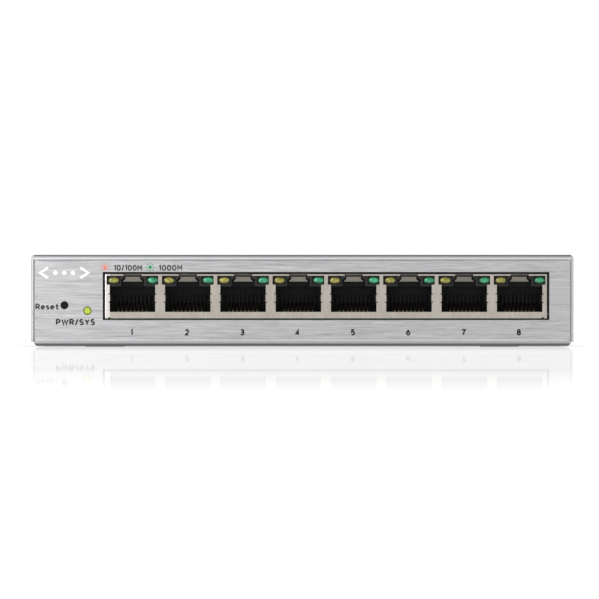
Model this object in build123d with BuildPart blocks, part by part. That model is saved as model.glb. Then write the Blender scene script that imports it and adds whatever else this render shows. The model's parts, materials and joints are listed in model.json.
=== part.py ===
from build123d import *
import os
from math import radians, sqrt, tan

# A desktop network switch: eight RJ45 ports in a folded sheet-steel case with a brushed front panel.
# Sizes are in millimetres. X runs along the front, Y from the front to the rear and Z up. The origin
# is the middle of the whole object's footprint, on the surface that the feet stand on.

os.makedirs("parts", exist_ok=True)

# ---- Driving dimensions -------------------------------------------------------------------------

# Case
CASE_WIDTH = 137.0
CASE_DEPTH = 100.0  # from the front panel's face to the rear wall's face
CASE_HEIGHT = 23.05  # from the case's underside to its top
FOOT_PROUD = 0.2
REAR_PROUD = 3.0  # how far the rocker stands out behind the rear wall
COVER_SHEET = 0.6
BASE_SHEET = 0.8
BEND_RADIUS = 1.0
SHEET_GAP = 0.1
FLANGE_HEIGHT = 8.0
COVER_LIFT = 1.0  # the cover's sides stop this far above the case's underside
LIP_HEIGHT = 1.15  # the cover's front edge is folded down this far
LIP_OVERLAP = 0.4  # of which this much is inside the bend
CUTOUT_CLEARANCE = 0.4
WELD = 0.1  # how far shapes that are joined run into each other
TOLERANCE = 0.01

# Front panel
PANEL_WIDTH = 135.3
PANEL_HEIGHT = 20.35
PANEL_LIFT = 1.3
PANEL_THICK = 0.8
PANEL_CORNER = 1.0
PANEL_EDGE_ROUND = 0.1
FILM_THICK = 0.1
FILM_MARGIN = 1.0  # the film stops this far inside the panel's edges

# Ganged RJ45 jack block
PORT_COUNT = 8
PORT_PITCH = 13.97
JACK_X = 5.95
JACK_WIDTH = 111.8
JACK_DEPTH = 16.0
JACK_LIFT = 7.0
JACK_HEIGHT = 11.25
JACK_RECESS = 0.1
HOUSING_GAP = 0.05
SHIELD_SHEET = 0.25
WINDOW_WIDTH = 112.6
WINDOW_HEIGHT = 11.93
WINDOW_CORNER = 0.2
MOUTH_WIDTH = 11.5
MOUTH_BOTTOM = 8.6
LAMP_ROW_BOTTOM = 15.5
LAMP_ROW_TOP = 17.75
LAMP_ROW_WIDTH = 13.05
LATCH_WIDTH = 4.6
LATCH_BOTTOM = 16.8
LATCH_DEPTH = 8.0
LATCH_STEP_WIDTH = 5.8
LATCH_STEP_TOP = 16.9
BRIDGE_BOTTOM = 17.45
BRIDGE_DEPTH = 2.4
CAVITY_WIDTH = 11.7
CAVITY_BOTTOM = 8.7
CAVITY_TOP = 15.1
CAVITY_DEPTH = 12.3

# Contacts
CONTACT_COUNT = 8
CONTACT_PITCH = 1.02
WIRE_DIAMETER = 0.36
CONTACT_TIP_LIFT = 10.9
WIRE_KNUCKLE = 0.6  # how far the wire stands up at the front of its spring arm
TAIL_CUT = 0.7  # the side of the square holes for the wires' tails

# Port lamps
AMBER_X = -4.75
GREEN_X = 5.15
LENS_WIDTH = 2.6
LENS_HEIGHT = 1.6
LAMP_Z_LIFT = 16.6
LAMP_BODY_WIDTH = 3.1
LAMP_BODY_HEIGHT = 2.1
LAMP_BODY_DEPTH = 5.5
LAMP_SETBACK = 0.5
LENS_DEPTH = 0.6
LENS_ROUND = 0.35
LAMP_CHANNEL_LIFT = 16.85
LAMP_CHANNEL_HEIGHT = 2.6
LAMP_LEAD_PITCH = 1.27
LAMP_LEAD_RADIUS = 0.2
LAMP_LEAD_BEND = 0.4

# Front controls
RESET_X = -60.1
RESET_LIFT = 10.3
RESET_HOLE_RADIUS = 1.0
POWER_LAMP_X = -54.3
POWER_LAMP_LIFT = 8.9
POWER_LAMP_RADIUS = 0.92
POWER_LAMP_HOLE_RADIUS = 1.05
RUNNING_CLEARANCE = 0.05

# Circuit board
BOARD_WIDTH = 131.0
BOARD_LIFT = 5.35
BOARD_THICK = 1.6
TAIL_BELOW_BOARD = 1.0
STANDOFF_X = 61.0

# Rear
INLET_X = 45.0
INLET_WIDTH = 9.0
INLET_HEIGHT = 11.0
INLET_DEPTH = 14.0
INLET_AXIS_ABOVE_BOARD = 6.5
INLET_BORE_RADIUS = 3.2
INLET_BORE_DEPTH = 9.5
INLET_PIN_RADIUS = 1.0
INLET_PIN_ROOT_RADIUS = 1.3  # where it's pressed into the body
INLET_PIN_RECESS = 1.0
INLET_PIN_ROUND = 0.4
INLET_PROUD = 0.3
ROCKER_X = 22.0
ROCKER_LIFT = 13.0
ROCKER_THROW = 20.0  # degrees from one resting side to the other
SWITCH_BODY_WIDTH = 13.3
SWITCH_BODY_HEIGHT = 8.8
SWITCH_BODY_DEPTH = 11.0
SCREW_X = 60.0
SCREW_LIFT = 15.0

# Screws
SCREW_RADIUS = 1.5
SCREW_LENGTH = 5.0
SCREW_HEAD_RADIUS = 2.75
SCREW_HEAD_HEIGHT = 1.3
SCREW_HEAD_ROUND = 0.5
HOLE_CLEARANCE = 0.15
RECESS_LENGTH = 3.0
RECESS_WIDTH = 0.6
RECESS_DEPTH = 0.8

# Places on the underside
FOOT_RADIUS = 5.0
FOOT_RECESS = 0.4
FOOT_ROUND = 0.2
FOOT_X = 50.0
FOOT_INSET = 11.0
KEYHOLE_SPACING = 80.0
KEYHOLE_HEAD_RADIUS = 3.6
KEYHOLE_SLOT_RADIUS = 1.9
KEYHOLE_RUN = 7.0

# ---- Places worked out from them ----------------------------------------------------------------

FRONT = -(CASE_DEPTH + REAR_PROUD) / 2
REAR = FRONT + CASE_DEPTH
MIDDLE = (FRONT + REAR) / 2
UNDERSIDE = FOOT_PROUD
TOP = UNDERSIDE + CASE_HEIGHT
WALL_FRONT = FRONT + PANEL_THICK + FILM_THICK
WALL_TOP = TOP - COVER_SHEET - 0.15
WALL_INSIDE_REAR = REAR - BASE_SHEET
CHASSIS_HALF = CASE_WIDTH / 2 - COVER_SHEET - SHEET_GAP
COVER_FRONT = FRONT + 0.15
COVER_BOTTOM = UNDERSIDE + COVER_LIFT
PANEL_Z = UNDERSIDE + PANEL_LIFT + PANEL_HEIGHT / 2
JACK_FRONT = FRONT + JACK_RECESS
JACK_BOTTOM = UNDERSIDE + JACK_LIFT
JACK_TOP = JACK_BOTTOM + JACK_HEIGHT
WINDOW_Z = JACK_BOTTOM + JACK_HEIGHT / 2
HOUSING_FRONT = JACK_FRONT + SHIELD_SHEET
HOUSING_REAR = JACK_FRONT + JACK_DEPTH - SHIELD_SHEET - HOUSING_GAP
HOUSING_BOTTOM = JACK_BOTTOM + HOUSING_GAP
HOUSING_TOP = JACK_TOP - SHIELD_SHEET - HOUSING_GAP
RESET_Z = UNDERSIDE + RESET_LIFT
POWER_LAMP_Z = UNDERSIDE + POWER_LAMP_LIFT
BOARD_BOTTOM = UNDERSIDE + BOARD_LIFT
BOARD_TOP = BOARD_BOTTOM + BOARD_THICK
BOARD_FRONT = FRONT + 2.5
BOARD_REAR = WALL_INSIDE_REAR - 0.8
FLOOR_TOP = UNDERSIDE + BASE_SHEET
TAIL_END = BOARD_BOTTOM - TAIL_BELOW_BOARD
INLET_Z = BOARD_TOP + INLET_AXIS_ABOVE_BOARD
INLET_FACE = REAR + INLET_PROUD
ROCKER_Z = UNDERSIDE + ROCKER_LIFT
SCREW_Z = UNDERSIDE + SCREW_LIFT

SCREWS = [(-SCREW_X, SCREW_Z), (SCREW_X, SCREW_Z)]
PORTS = [JACK_X + (port - (PORT_COUNT - 1) / 2) * PORT_PITCH for port in range(PORT_COUNT)]
FEET = [(x, y) for x in (-FOOT_X, FOOT_X) for y in (FRONT + FOOT_INSET, REAR - FOOT_INSET)]
KEYHOLES = [(-KEYHOLE_SPACING / 2, MIDDLE), (KEYHOLE_SPACING / 2, MIDDLE)]
STANDOFFS = [(x, y) for x in (-STANDOFF_X, STANDOFF_X) for y in (FRONT + 46.0, REAR - 14.0)]


def level(z):
    """The sketch plane that lies flat at the height z."""
    return Plane.XY.offset(z)


def facing_front(y):
    """The upright sketch plane at the depth y, seen from the front: a negative amount runs to the rear."""
    return Plane.XZ.offset(-y)


def facing_right(x):
    """The upright sketch plane across the case at x: its own X is Y and its own Y is Z."""
    return Plane.YZ.offset(x)


pieces = {}

# ---- Case ---------------------------------------------------------------------------------------

CHASSIS_DEPTH = REAR - WALL_FRONT
CHASSIS_MIDDLE = (REAR + WALL_FRONT) / 2
STANDOFF_SHANK_RADIUS = 2.1
WALL_HOLE_RADIUS = 1.5
RELIEF_WIDTH = 1.0
RELIEF_LIFT = 1.2
INLET_CUTOUT_CORNER = 0.5

with BuildPart() as base_chassis:
    # A tray folded from one sheet, whose side walls are only low flanges.
    with BuildSketch(level(UNDERSIDE)):
        with Locations((0, CHASSIS_MIDDLE)):
            Rectangle(2 * CHASSIS_HALF, CHASSIS_DEPTH)
    extrude(amount=WALL_TOP - UNDERSIDE)
    fillet(base_chassis.faces().sort_by(Axis.Z)[0].edges(), BEND_RADIUS)
    with BuildSketch(level(FLOOR_TOP)):
        with Locations((0, CHASSIS_MIDDLE)):
            Rectangle(2 * (CHASSIS_HALF - BASE_SHEET), CHASSIS_DEPTH - 2 * BASE_SHEET)
    extrude(amount=CASE_HEIGHT, mode=Mode.SUBTRACT)
    with BuildSketch(level(UNDERSIDE + FLANGE_HEIGHT)):
        with Locations((0, CHASSIS_MIDDLE)):
            Rectangle(CASE_WIDTH, CHASSIS_DEPTH - 2 * BASE_SHEET)
    extrude(amount=CASE_HEIGHT, mode=Mode.SUBTRACT)
    # Relief slots part the flanges from the front and rear walls.
    with BuildSketch(level(UNDERSIDE + RELIEF_LIFT)):
        with Locations((0, CHASSIS_MIDDLE)):
            with GridLocations(0, CHASSIS_DEPTH - 2 * BASE_SHEET - RELIEF_WIDTH, 1, 2):
                Rectangle(CASE_WIDTH, RELIEF_WIDTH)
    extrude(amount=CASE_HEIGHT, mode=Mode.SUBTRACT)
    # Front wall: the jack window and the two small holes at the left.
    with BuildSketch(facing_front(WALL_FRONT)):
        with Locations((JACK_X, WINDOW_Z)):
            Rectangle(WINDOW_WIDTH + CUTOUT_CLEARANCE, WINDOW_HEIGHT + CUTOUT_CLEARANCE)
        with Locations((RESET_X, RESET_Z), (POWER_LAMP_X, POWER_LAMP_Z)):
            Circle(WALL_HOLE_RADIUS)
    extrude(amount=-BASE_SHEET, mode=Mode.SUBTRACT)
    # Rear wall: the power inlet, the rocker switch and the cover screws.
    with BuildSketch(facing_front(REAR)):
        with Locations((INLET_X, BOARD_TOP + INLET_HEIGHT / 2)):
            RectangleRounded(
                INLET_WIDTH + CUTOUT_CLEARANCE, INLET_HEIGHT + CUTOUT_CLEARANCE, INLET_CUTOUT_CORNER
            )
        with Locations((ROCKER_X, ROCKER_Z)):
            Rectangle(SWITCH_BODY_WIDTH + HOLE_CLEARANCE, SWITCH_BODY_HEIGHT + HOLE_CLEARANCE)
        with Locations(*SCREWS):
            Circle(SCREW_RADIUS + HOLE_CLEARANCE)
    extrude(amount=BASE_SHEET, mode=Mode.SUBTRACT)
    # Underside: foot recesses, wall-mounting keyholes and holes for the standoffs' shanks.
    with BuildSketch(level(UNDERSIDE)):
        with Locations(*FEET):
            Circle(FOOT_RADIUS + HOLE_CLEARANCE)
    extrude(amount=FOOT_RECESS, mode=Mode.SUBTRACT)
    with BuildSketch(level(UNDERSIDE)):
        with Locations(*KEYHOLES):
            Circle(KEYHOLE_HEAD_RADIUS)
        with Locations(*[(x, y + KEYHOLE_RUN / 2) for x, y in KEYHOLES]):
            SlotCenterToCenter(KEYHOLE_RUN, 2 * KEYHOLE_SLOT_RADIUS, rotation=90)
        with Locations(*STANDOFFS):
            Circle(STANDOFF_SHANK_RADIUS)
    extrude(amount=BASE_SHEET, mode=Mode.SUBTRACT)
pieces["base_chassis"] = base_chassis

COVER_HEIGHT = TOP - COVER_BOTTOM
COVER_LENGTH = REAR - COVER_FRONT
COVER_INSIDE_HALF = CASE_WIDTH / 2 - COVER_SHEET
EDGE_ROUND = 0.45
TAB_WIDTH = 9.0
TAB_HEIGHT = 10.0
VENT_COUNT = 14
VENT_PITCH = 4.2
VENT_LIFT = 14.5
VENT_HEIGHT = 9.0
VENT_WIDTH = 1.8

with BuildPart() as top_cover:
    with BuildSketch(facing_front(COVER_FRONT)) as hoop:
        with Locations((0, COVER_BOTTOM + COVER_HEIGHT / 2)):
            Rectangle(CASE_WIDTH, COVER_HEIGHT)
        fillet(hoop.vertices().group_by(Axis.Y)[-1], BEND_RADIUS)
    extrude(amount=-COVER_LENGTH)
    with BuildSketch(facing_front(COVER_FRONT)) as inside:
        with Locations((0, COVER_BOTTOM + (COVER_HEIGHT - COVER_SHEET) / 2)):
            Rectangle(2 * COVER_INSIDE_HALF, COVER_HEIGHT - COVER_SHEET)
        fillet(inside.vertices().group_by(Axis.Y)[-1], BEND_RADIUS - COVER_SHEET)
    extrude(amount=-COVER_LENGTH, mode=Mode.SUBTRACT)
    # The front edge of the top is folded down to a narrow lip.
    with BuildSketch(facing_front(COVER_FRONT)):
        with Locations((0, TOP - (LIP_HEIGHT + LIP_OVERLAP) / 2)):
            Rectangle(2 * (COVER_INSIDE_HALF + WELD), LIP_HEIGHT - LIP_OVERLAP)
    extrude(amount=-COVER_SHEET)
    front_edges = top_cover.faces().sort_by(Axis.Y)[0].outer_wire().edges()
    rim = [edge for edge in front_edges if edge.center().Z > TOP - LIP_HEIGHT / 2]
    rim += [edge for edge in front_edges if abs(edge.center().X) > CASE_WIDTH / 2 - TOLERANCE]
    fillet(rim, EDGE_ROUND)
    # Tabs at the rear of the sides take the cover screws.
    with BuildSketch(facing_front(REAR - BASE_SHEET - SHEET_GAP)):
        with Locations(*SCREWS):
            Rectangle(TAB_WIDTH, TAB_HEIGHT)
        for side in (-1, 1):
            with Locations((side * (SCREW_X + COVER_INSIDE_HALF) / 2, SCREW_Z)):
                Rectangle(COVER_INSIDE_HALF - SCREW_X + 2 * WELD, TAB_HEIGHT)
        with Locations(*SCREWS):
            Circle(SCREW_RADIUS, mode=Mode.SUBTRACT)
    extrude(amount=COVER_SHEET)
    # Upright ventilation slots in both sides.
    with BuildSketch(facing_right(0)):
        with Locations((MIDDLE, UNDERSIDE + VENT_LIFT)):
            with GridLocations(VENT_PITCH, 0, VENT_COUNT, 1):
                SlotOverall(VENT_HEIGHT, VENT_WIDTH, rotation=90)
    extrude(amount=CASE_WIDTH, both=True, mode=Mode.SUBTRACT)
pieces["top_cover"] = top_cover

with BuildPart() as front_panel:
    with BuildSketch(facing_front(FRONT)):
        with Locations((0, PANEL_Z)):
            RectangleRounded(PANEL_WIDTH, PANEL_HEIGHT, PANEL_CORNER)
        with Locations((JACK_X, WINDOW_Z)):
            RectangleRounded(WINDOW_WIDTH, WINDOW_HEIGHT, WINDOW_CORNER, mode=Mode.SUBTRACT)
        with Locations((RESET_X, RESET_Z)):
            Circle(RESET_HOLE_RADIUS, mode=Mode.SUBTRACT)
        with Locations((POWER_LAMP_X, POWER_LAMP_Z)):
            Circle(POWER_LAMP_HOLE_RADIUS, mode=Mode.SUBTRACT)
    extrude(amount=-PANEL_THICK)
    fillet(front_panel.faces().sort_by(Axis.Y)[0].edges(), PANEL_EDGE_ROUND)
pieces["front_panel"] = front_panel

with BuildPart() as panel_adhesive:
    with BuildSketch(facing_front(FRONT + PANEL_THICK)):
        with Locations((0, PANEL_Z)):
            RectangleRounded(PANEL_WIDTH - 2 * FILM_MARGIN, PANEL_HEIGHT - 2 * FILM_MARGIN, PANEL_CORNER)
        with Locations((JACK_X, WINDOW_Z)):
            Rectangle(WINDOW_WIDTH + FILM_MARGIN, WINDOW_HEIGHT + FILM_MARGIN, mode=Mode.SUBTRACT)
        with Locations((RESET_X, RESET_Z), (POWER_LAMP_X, POWER_LAMP_Z)):
            Circle(WALL_HOLE_RADIUS, mode=Mode.SUBTRACT)
    extrude(amount=-FILM_THICK)
pieces["panel_adhesive"] = panel_adhesive

with BuildPart() as cover_screws:
    # Low pan heads with a cross recess, on the rear wall.
    with BuildSketch(facing_front(REAR)):
        with Locations(*SCREWS):
            Circle(SCREW_HEAD_RADIUS)
    extrude(amount=-SCREW_HEAD_HEIGHT)
    fillet(cover_screws.faces().sort_by(Axis.Y)[-2:].edges(), SCREW_HEAD_ROUND)
    with BuildSketch(facing_front(REAR)):
        with Locations(*SCREWS):
            Circle(SCREW_RADIUS)
    extrude(amount=SCREW_LENGTH)
    with BuildSketch(facing_front(REAR + SCREW_HEAD_HEIGHT)):
        with Locations(*SCREWS):
            Rectangle(RECESS_LENGTH, RECESS_WIDTH)
            Rectangle(RECESS_WIDTH, RECESS_LENGTH)
    extrude(amount=RECESS_DEPTH, mode=Mode.SUBTRACT)
pieces["cover_screws"] = cover_screws

with BuildPart() as rubber_feet:
    with BuildSketch(level(0)):
        with Locations(*FEET):
            Circle(FOOT_RADIUS)
    extrude(amount=FOOT_PROUD + FOOT_RECESS)
    fillet(rubber_feet.faces().group_by(Axis.Z)[0].edges(), FOOT_ROUND)
pieces["rubber_feet"] = rubber_feet

STANDOFF_CORNER_RADIUS = 2.9

with BuildPart() as board_standoffs:
    # Hexagonal pillars whose round shanks are pressed into the floor.
    with BuildSketch(level(FLOOR_TOP)):
        with Locations(*STANDOFFS):
            RegularPolygon(STANDOFF_CORNER_RADIUS, 6)
    extrude(amount=BOARD_BOTTOM - FLOOR_TOP)
    with BuildSketch(level(UNDERSIDE)):
        with Locations(*STANDOFFS):
            Circle(STANDOFF_SHANK_RADIUS)
    extrude(amount=BASE_SHEET)
    with BuildSketch(level(FLOOR_TOP)):
        with Locations(*STANDOFFS):
            Circle(SCREW_RADIUS)
    extrude(amount=CASE_HEIGHT, mode=Mode.SUBTRACT)
pieces["board_standoffs"] = board_standoffs

with BuildPart() as board_screws:
    with BuildSketch(level(BOARD_TOP)):
        with Locations(*STANDOFFS):
            Circle(SCREW_HEAD_RADIUS)
    extrude(amount=SCREW_HEAD_HEIGHT)
    fillet(board_screws.faces().group_by(Axis.Z)[-1].edges(), SCREW_HEAD_ROUND)
    with BuildSketch(level(BOARD_TOP)):
        with Locations(*STANDOFFS):
            Circle(SCREW_RADIUS)
    extrude(amount=-SCREW_LENGTH)
    with BuildSketch(level(BOARD_TOP + SCREW_HEAD_HEIGHT)):
        with Locations(*STANDOFFS):
            Rectangle(RECESS_LENGTH, RECESS_WIDTH)
            Rectangle(RECESS_WIDTH, RECESS_LENGTH)
    extrude(amount=-RECESS_DEPTH, mode=Mode.SUBTRACT)
pieces["board_screws"] = board_screws

# ---- Ganged jack block --------------------------------------------------------------------------

FINGER_Z = UNDERSIDE + 12.1
FINGER_HEIGHT = 1.8
FINGER_DEPTH = 3.2
FLAP_TOP_HALF = 1.85
FLAP_FOOT_HALF = 2.75
FLAP_FOOT_Z = UNDERSIDE + 16.2
FLAP_SHEET = 0.22
FLAP_BENDS = (0.1, 0.9, 2.6)  # how far behind the notch the flap starts, bends and ends
FLAP_RISES = (0.2, 0.4)  # how high its bend and its end are above its foot
FLAP_SHOULDER = 0.75
FLAP_DROP = 0.2
FINGER_START = 0.1
FINGER_CURVE = (0.02, -0.22, -0.05)  # how far its start, middle and end are outside the mouth
SHIELD_CORNER = 0.3
SHIELD_TOP_ROUND = 0.2
END_NOTCH = (0.6, 0.5)
END_NOTCH_INSET = 2.3
SOLDER_TAB_DEPTHS = (4.5, 12.5)
FINGER_SHEET = 0.18
RELIEF_NOTCH = (0.7, 0.25)
NOTCH_DEPTH = 3.1
SOLDER_TAB_WIDTH = 1.2
MOUTH_HALF = MOUTH_WIDTH / 2
SOLDER_TABS = [
    (JACK_X + side * (JACK_WIDTH - SHIELD_SHEET) / 2, JACK_FRONT + depth)
    for side in (-1, 1)
    for depth in SOLDER_TAB_DEPTHS
]

with BuildPart() as latch_flap:
    # A flap cut from the shield's top and bent down behind the latch notch, wider at its foot.
    with BuildSketch(facing_right(0)):
        with BuildLine():
            Polyline(
                (JACK_FRONT + NOTCH_DEPTH + FLAP_BENDS[0], JACK_TOP - SHIELD_SHEET / 2),
                (JACK_FRONT + NOTCH_DEPTH + FLAP_BENDS[1], FLAP_FOOT_Z + FLAP_RISES[0]),
                (JACK_FRONT + NOTCH_DEPTH + FLAP_BENDS[2], FLAP_FOOT_Z + FLAP_RISES[1]),
            )
        trace(line_width=FLAP_SHEET)
    extrude(amount=FLAP_FOOT_HALF, both=True)
    with BuildSketch(facing_front(JACK_FRONT)):
        with BuildLine():
            Polyline(
                (-FLAP_TOP_HALF, JACK_TOP),
                (-FLAP_TOP_HALF, FLAP_FOOT_Z + FLAP_SHOULDER),
                (-FLAP_FOOT_HALF, FLAP_FOOT_Z - FLAP_DROP),
                (FLAP_FOOT_HALF, FLAP_FOOT_Z - FLAP_DROP),
                (FLAP_TOP_HALF, FLAP_FOOT_Z + FLAP_SHOULDER),
                (FLAP_TOP_HALF, JACK_TOP),
                close=True,
            )
        make_face()
    extrude(amount=-JACK_DEPTH, mode=Mode.INTERSECT)

with BuildPart() as side_fingers:
    # One spring finger on each side of a mouth, curved into it.
    with BuildSketch(level(FINGER_Z - FINGER_HEIGHT / 2)):
        for side in (-1, 1):
            with BuildLine():
                ThreePointArc(
                    (side * (MOUTH_HALF + FINGER_CURVE[0]), JACK_FRONT + FINGER_START),
                    (side * (MOUTH_HALF + FINGER_CURVE[1]), JACK_FRONT + FINGER_DEPTH / 2),
                    (side * (MOUTH_HALF + FINGER_CURVE[2]), JACK_FRONT + FINGER_DEPTH),
                )
            trace(line_width=FINGER_SHEET)
    extrude(amount=FINGER_HEIGHT)

with BuildPart() as jack_shield:
    # A plated sheet box, open underneath, over the whole housing.
    with BuildSketch(level(JACK_BOTTOM)):
        with Locations((JACK_X, JACK_FRONT + JACK_DEPTH / 2)):
            RectangleRounded(JACK_WIDTH, JACK_DEPTH, SHIELD_CORNER)
    extrude(amount=JACK_HEIGHT)
    with BuildSketch(level(JACK_BOTTOM)):
        with Locations((JACK_X, JACK_FRONT + JACK_DEPTH / 2)):
            Rectangle(JACK_WIDTH - 2 * SHIELD_SHEET, JACK_DEPTH - 2 * SHIELD_SHEET)
    extrude(amount=JACK_HEIGHT - SHIELD_SHEET, mode=Mode.SUBTRACT)
    fillet(jack_shield.faces().sort_by(Axis.Z)[-1].edges().sort_by(Axis.Y)[0], SHIELD_TOP_ROUND)
    # Each port's mouth, its wider lamp row and the relief notches beside its fingers.
    with BuildSketch(facing_front(JACK_FRONT)):
        for port_x in PORTS:
            with Locations((port_x, UNDERSIDE + (MOUTH_BOTTOM + LAMP_ROW_BOTTOM) / 2)):
                Rectangle(MOUTH_WIDTH, LAMP_ROW_BOTTOM - MOUTH_BOTTOM)
            with Locations((port_x, UNDERSIDE + (LAMP_ROW_BOTTOM + LAMP_ROW_TOP) / 2)):
                Rectangle(LAMP_ROW_WIDTH, LAMP_ROW_TOP - LAMP_ROW_BOTTOM)
            with Locations((port_x, FINGER_Z)):
                with GridLocations(MOUTH_WIDTH, FINGER_HEIGHT + RELIEF_NOTCH[1], 2, 2):
                    Rectangle(*RELIEF_NOTCH)
    extrude(amount=-SHIELD_SHEET, mode=Mode.SUBTRACT)
    # The latch notches run through the front and the top.
    with BuildSketch(level(UNDERSIDE + LAMP_ROW_TOP - WELD)):
        with Locations(*[(port_x, JACK_FRONT + NOTCH_DEPTH / 2) for port_x in PORTS]):
            Rectangle(LATCH_WIDTH, NOTCH_DEPTH)
    extrude(amount=JACK_HEIGHT, mode=Mode.SUBTRACT)
    with Locations(*[(port_x, 0) for port_x in PORTS]):
        add(latch_flap.part)
        add(side_fingers.part)
    # Small notches where the front band meets the folded ends, and tabs soldered into the board.
    with BuildSketch(facing_front(JACK_FRONT)):
        with Locations((JACK_X, JACK_BOTTOM)):
            with GridLocations(JACK_WIDTH - END_NOTCH_INSET, 0, 2, 1):
                Rectangle(*END_NOTCH)
    extrude(amount=-SHIELD_SHEET, mode=Mode.SUBTRACT)
    with BuildSketch(level(JACK_BOTTOM)):
        with Locations(*SOLDER_TABS):
            Rectangle(SHIELD_SHEET, SOLDER_TAB_WIDTH)
    extrude(amount=TAIL_END - JACK_BOTTOM)
pieces["jack_shield"] = jack_shield

GROOVE_WIDTH = 0.55
GROOVE_FLOOR = UNDERSIDE + CAVITY_BOTTOM - 0.6
WIRE_RUN_Z = UNDERSIDE + CAVITY_BOTTOM - 0.35
WIRE_FRONT = HOUSING_FRONT + 0.75
TAIL_ROWS = (JACK_FRONT + 13.1, JACK_FRONT + 14.3)
LAMP_LEAD_Y = HOUSING_REAR - 0.45
CONTACT_OFFSETS = [
    (index - (CONTACT_COUNT - 1) / 2) * CONTACT_PITCH for index in range(CONTACT_COUNT)
]
WIRES = [
    (port_x + offset, TAIL_ROWS[index % 2])
    for port_x in PORTS
    for index, offset in enumerate(CONTACT_OFFSETS)
]
LAMP_LEADS = [
    (port_x + lamp_x + lead_side * LAMP_LEAD_PITCH / 2, LAMP_LEAD_Y)
    for port_x in PORTS
    for lamp_x in (AMBER_X, GREEN_X)
    for lead_side in (-1, 1)
]
LAMP_LEAD_SLOT = (0.6, 1.0)
RIB_WIDTH = 0.42
RIB_TOP = 12.9
RIB_DEPTH = 1.5

with BuildPart() as jack_housing:
    with BuildSketch(level(HOUSING_BOTTOM)):
        with Locations((JACK_X, (HOUSING_FRONT + HOUSING_REAR) / 2)):
            Rectangle(JACK_WIDTH - 2 * (SHIELD_SHEET + HOUSING_GAP), HOUSING_REAR - HOUSING_FRONT)
    extrude(amount=HOUSING_TOP - HOUSING_BOTTOM)
    # Plug cavities, each with the step for the plug's latch.
    with BuildSketch(facing_front(HOUSING_FRONT)):
        for port_x in PORTS:
            with Locations((port_x, UNDERSIDE + (CAVITY_BOTTOM + CAVITY_TOP) / 2)):
                Rectangle(CAVITY_WIDTH, CAVITY_TOP - CAVITY_BOTTOM)
    extrude(amount=-CAVITY_DEPTH, mode=Mode.SUBTRACT)
    with BuildSketch(facing_front(HOUSING_FRONT)):
        for port_x in PORTS:
            with Locations((port_x, UNDERSIDE + (CAVITY_TOP + LATCH_STEP_TOP) / 2)):
                Rectangle(LATCH_STEP_WIDTH, LATCH_STEP_TOP - CAVITY_TOP)
            with Locations((port_x, (UNDERSIDE + LATCH_BOTTOM + JACK_TOP) / 2)):
                Rectangle(LATCH_WIDTH, JACK_TOP - UNDERSIDE - LATCH_BOTTOM)
    extrude(amount=-LATCH_DEPTH, mode=Mode.SUBTRACT)
    # A bridge across the top of each latch notch, in front of the shield's flap.
    with BuildSketch(facing_front(HOUSING_FRONT)):
        for port_x in PORTS:
            with Locations((port_x, (UNDERSIDE + BRIDGE_BOTTOM + HOUSING_TOP) / 2)):
                Rectangle(LATCH_WIDTH, HOUSING_TOP - UNDERSIDE - BRIDGE_BOTTOM)
    extrude(amount=-BRIDGE_DEPTH)
    # Lamp channels along the top corners, open at the top.
    with BuildSketch(facing_front(HOUSING_FRONT)):
        for lamp_x in (AMBER_X, GREEN_X):
            with Locations(*[(port_x + lamp_x, UNDERSIDE + LAMP_CHANNEL_LIFT) for port_x in PORTS]):
                Rectangle(LAMP_BODY_WIDTH + 2 * RUNNING_CLEARANCE, LAMP_CHANNEL_HEIGHT)
    extrude(amount=-JACK_DEPTH, mode=Mode.SUBTRACT)
    # Grooves for the contact wires, their tails and the lamp leads.
    with BuildSketch(level(GROOVE_FLOOR)):
        for wire_x, tail_y in WIRES:
            with Locations((wire_x, (WIRE_FRONT + tail_y) / 2)):
                Rectangle(GROOVE_WIDTH, tail_y - WIRE_FRONT + TAIL_CUT)
    extrude(amount=UNDERSIDE + CAVITY_BOTTOM - GROOVE_FLOOR, mode=Mode.SUBTRACT)
    with BuildSketch(level(JACK_BOTTOM)):
        with Locations(*WIRES):
            Rectangle(GROOVE_WIDTH, TAIL_CUT)
    extrude(amount=GROOVE_FLOOR - JACK_BOTTOM + WELD, mode=Mode.SUBTRACT)
    with BuildSketch(level(JACK_BOTTOM)):
        with Locations(*LAMP_LEADS):
            Rectangle(*LAMP_LEAD_SLOT)
    extrude(amount=JACK_HEIGHT, mode=Mode.SUBTRACT)
    # Ribs on each cavity's back wall stand between the contact tips.
    with BuildSketch(level(UNDERSIDE + CAVITY_BOTTOM)):
        for port_x in PORTS:
            with Locations((port_x, HOUSING_FRONT + CAVITY_DEPTH - RIB_DEPTH / 2)):
                with GridLocations(CONTACT_PITCH, 0, CONTACT_COUNT + 1, 1):
                    Rectangle(RIB_WIDTH, RIB_DEPTH)
    extrude(amount=RIB_TOP - CAVITY_BOTTOM)
pieces["jack_housing"] = jack_housing

CONTACT_TIP_Y = HOUSING_FRONT + CAVITY_DEPTH - 0.7
WIRE_BEND = 0.28
for port_number, port_x in enumerate(PORTS, start=1):
    with BuildPart() as port_contacts:
        # Each wire comes up through the board, runs forward under the cavity and springs back into it.
        for index, offset in enumerate(CONTACT_OFFSETS):
            tail_y = TAIL_ROWS[index % 2]
            with BuildLine(facing_right(port_x + offset)) as wire:
                FilletPolyline(
                    (tail_y, TAIL_END),
                    (tail_y, WIRE_RUN_Z),
                    (WIRE_FRONT, WIRE_RUN_Z),
                    (WIRE_FRONT, WIRE_RUN_Z + WIRE_KNUCKLE),
                    (CONTACT_TIP_Y, UNDERSIDE + CONTACT_TIP_LIFT),
                    radius=WIRE_BEND,
                )
            with BuildSketch(Plane(origin=wire.line @ 0, z_dir=wire.line % 0)):
                Circle(WIRE_DIAMETER / 2)
            sweep(path=wire.line)
    pieces[f"port_{port_number}_contacts"] = port_contacts

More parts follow.
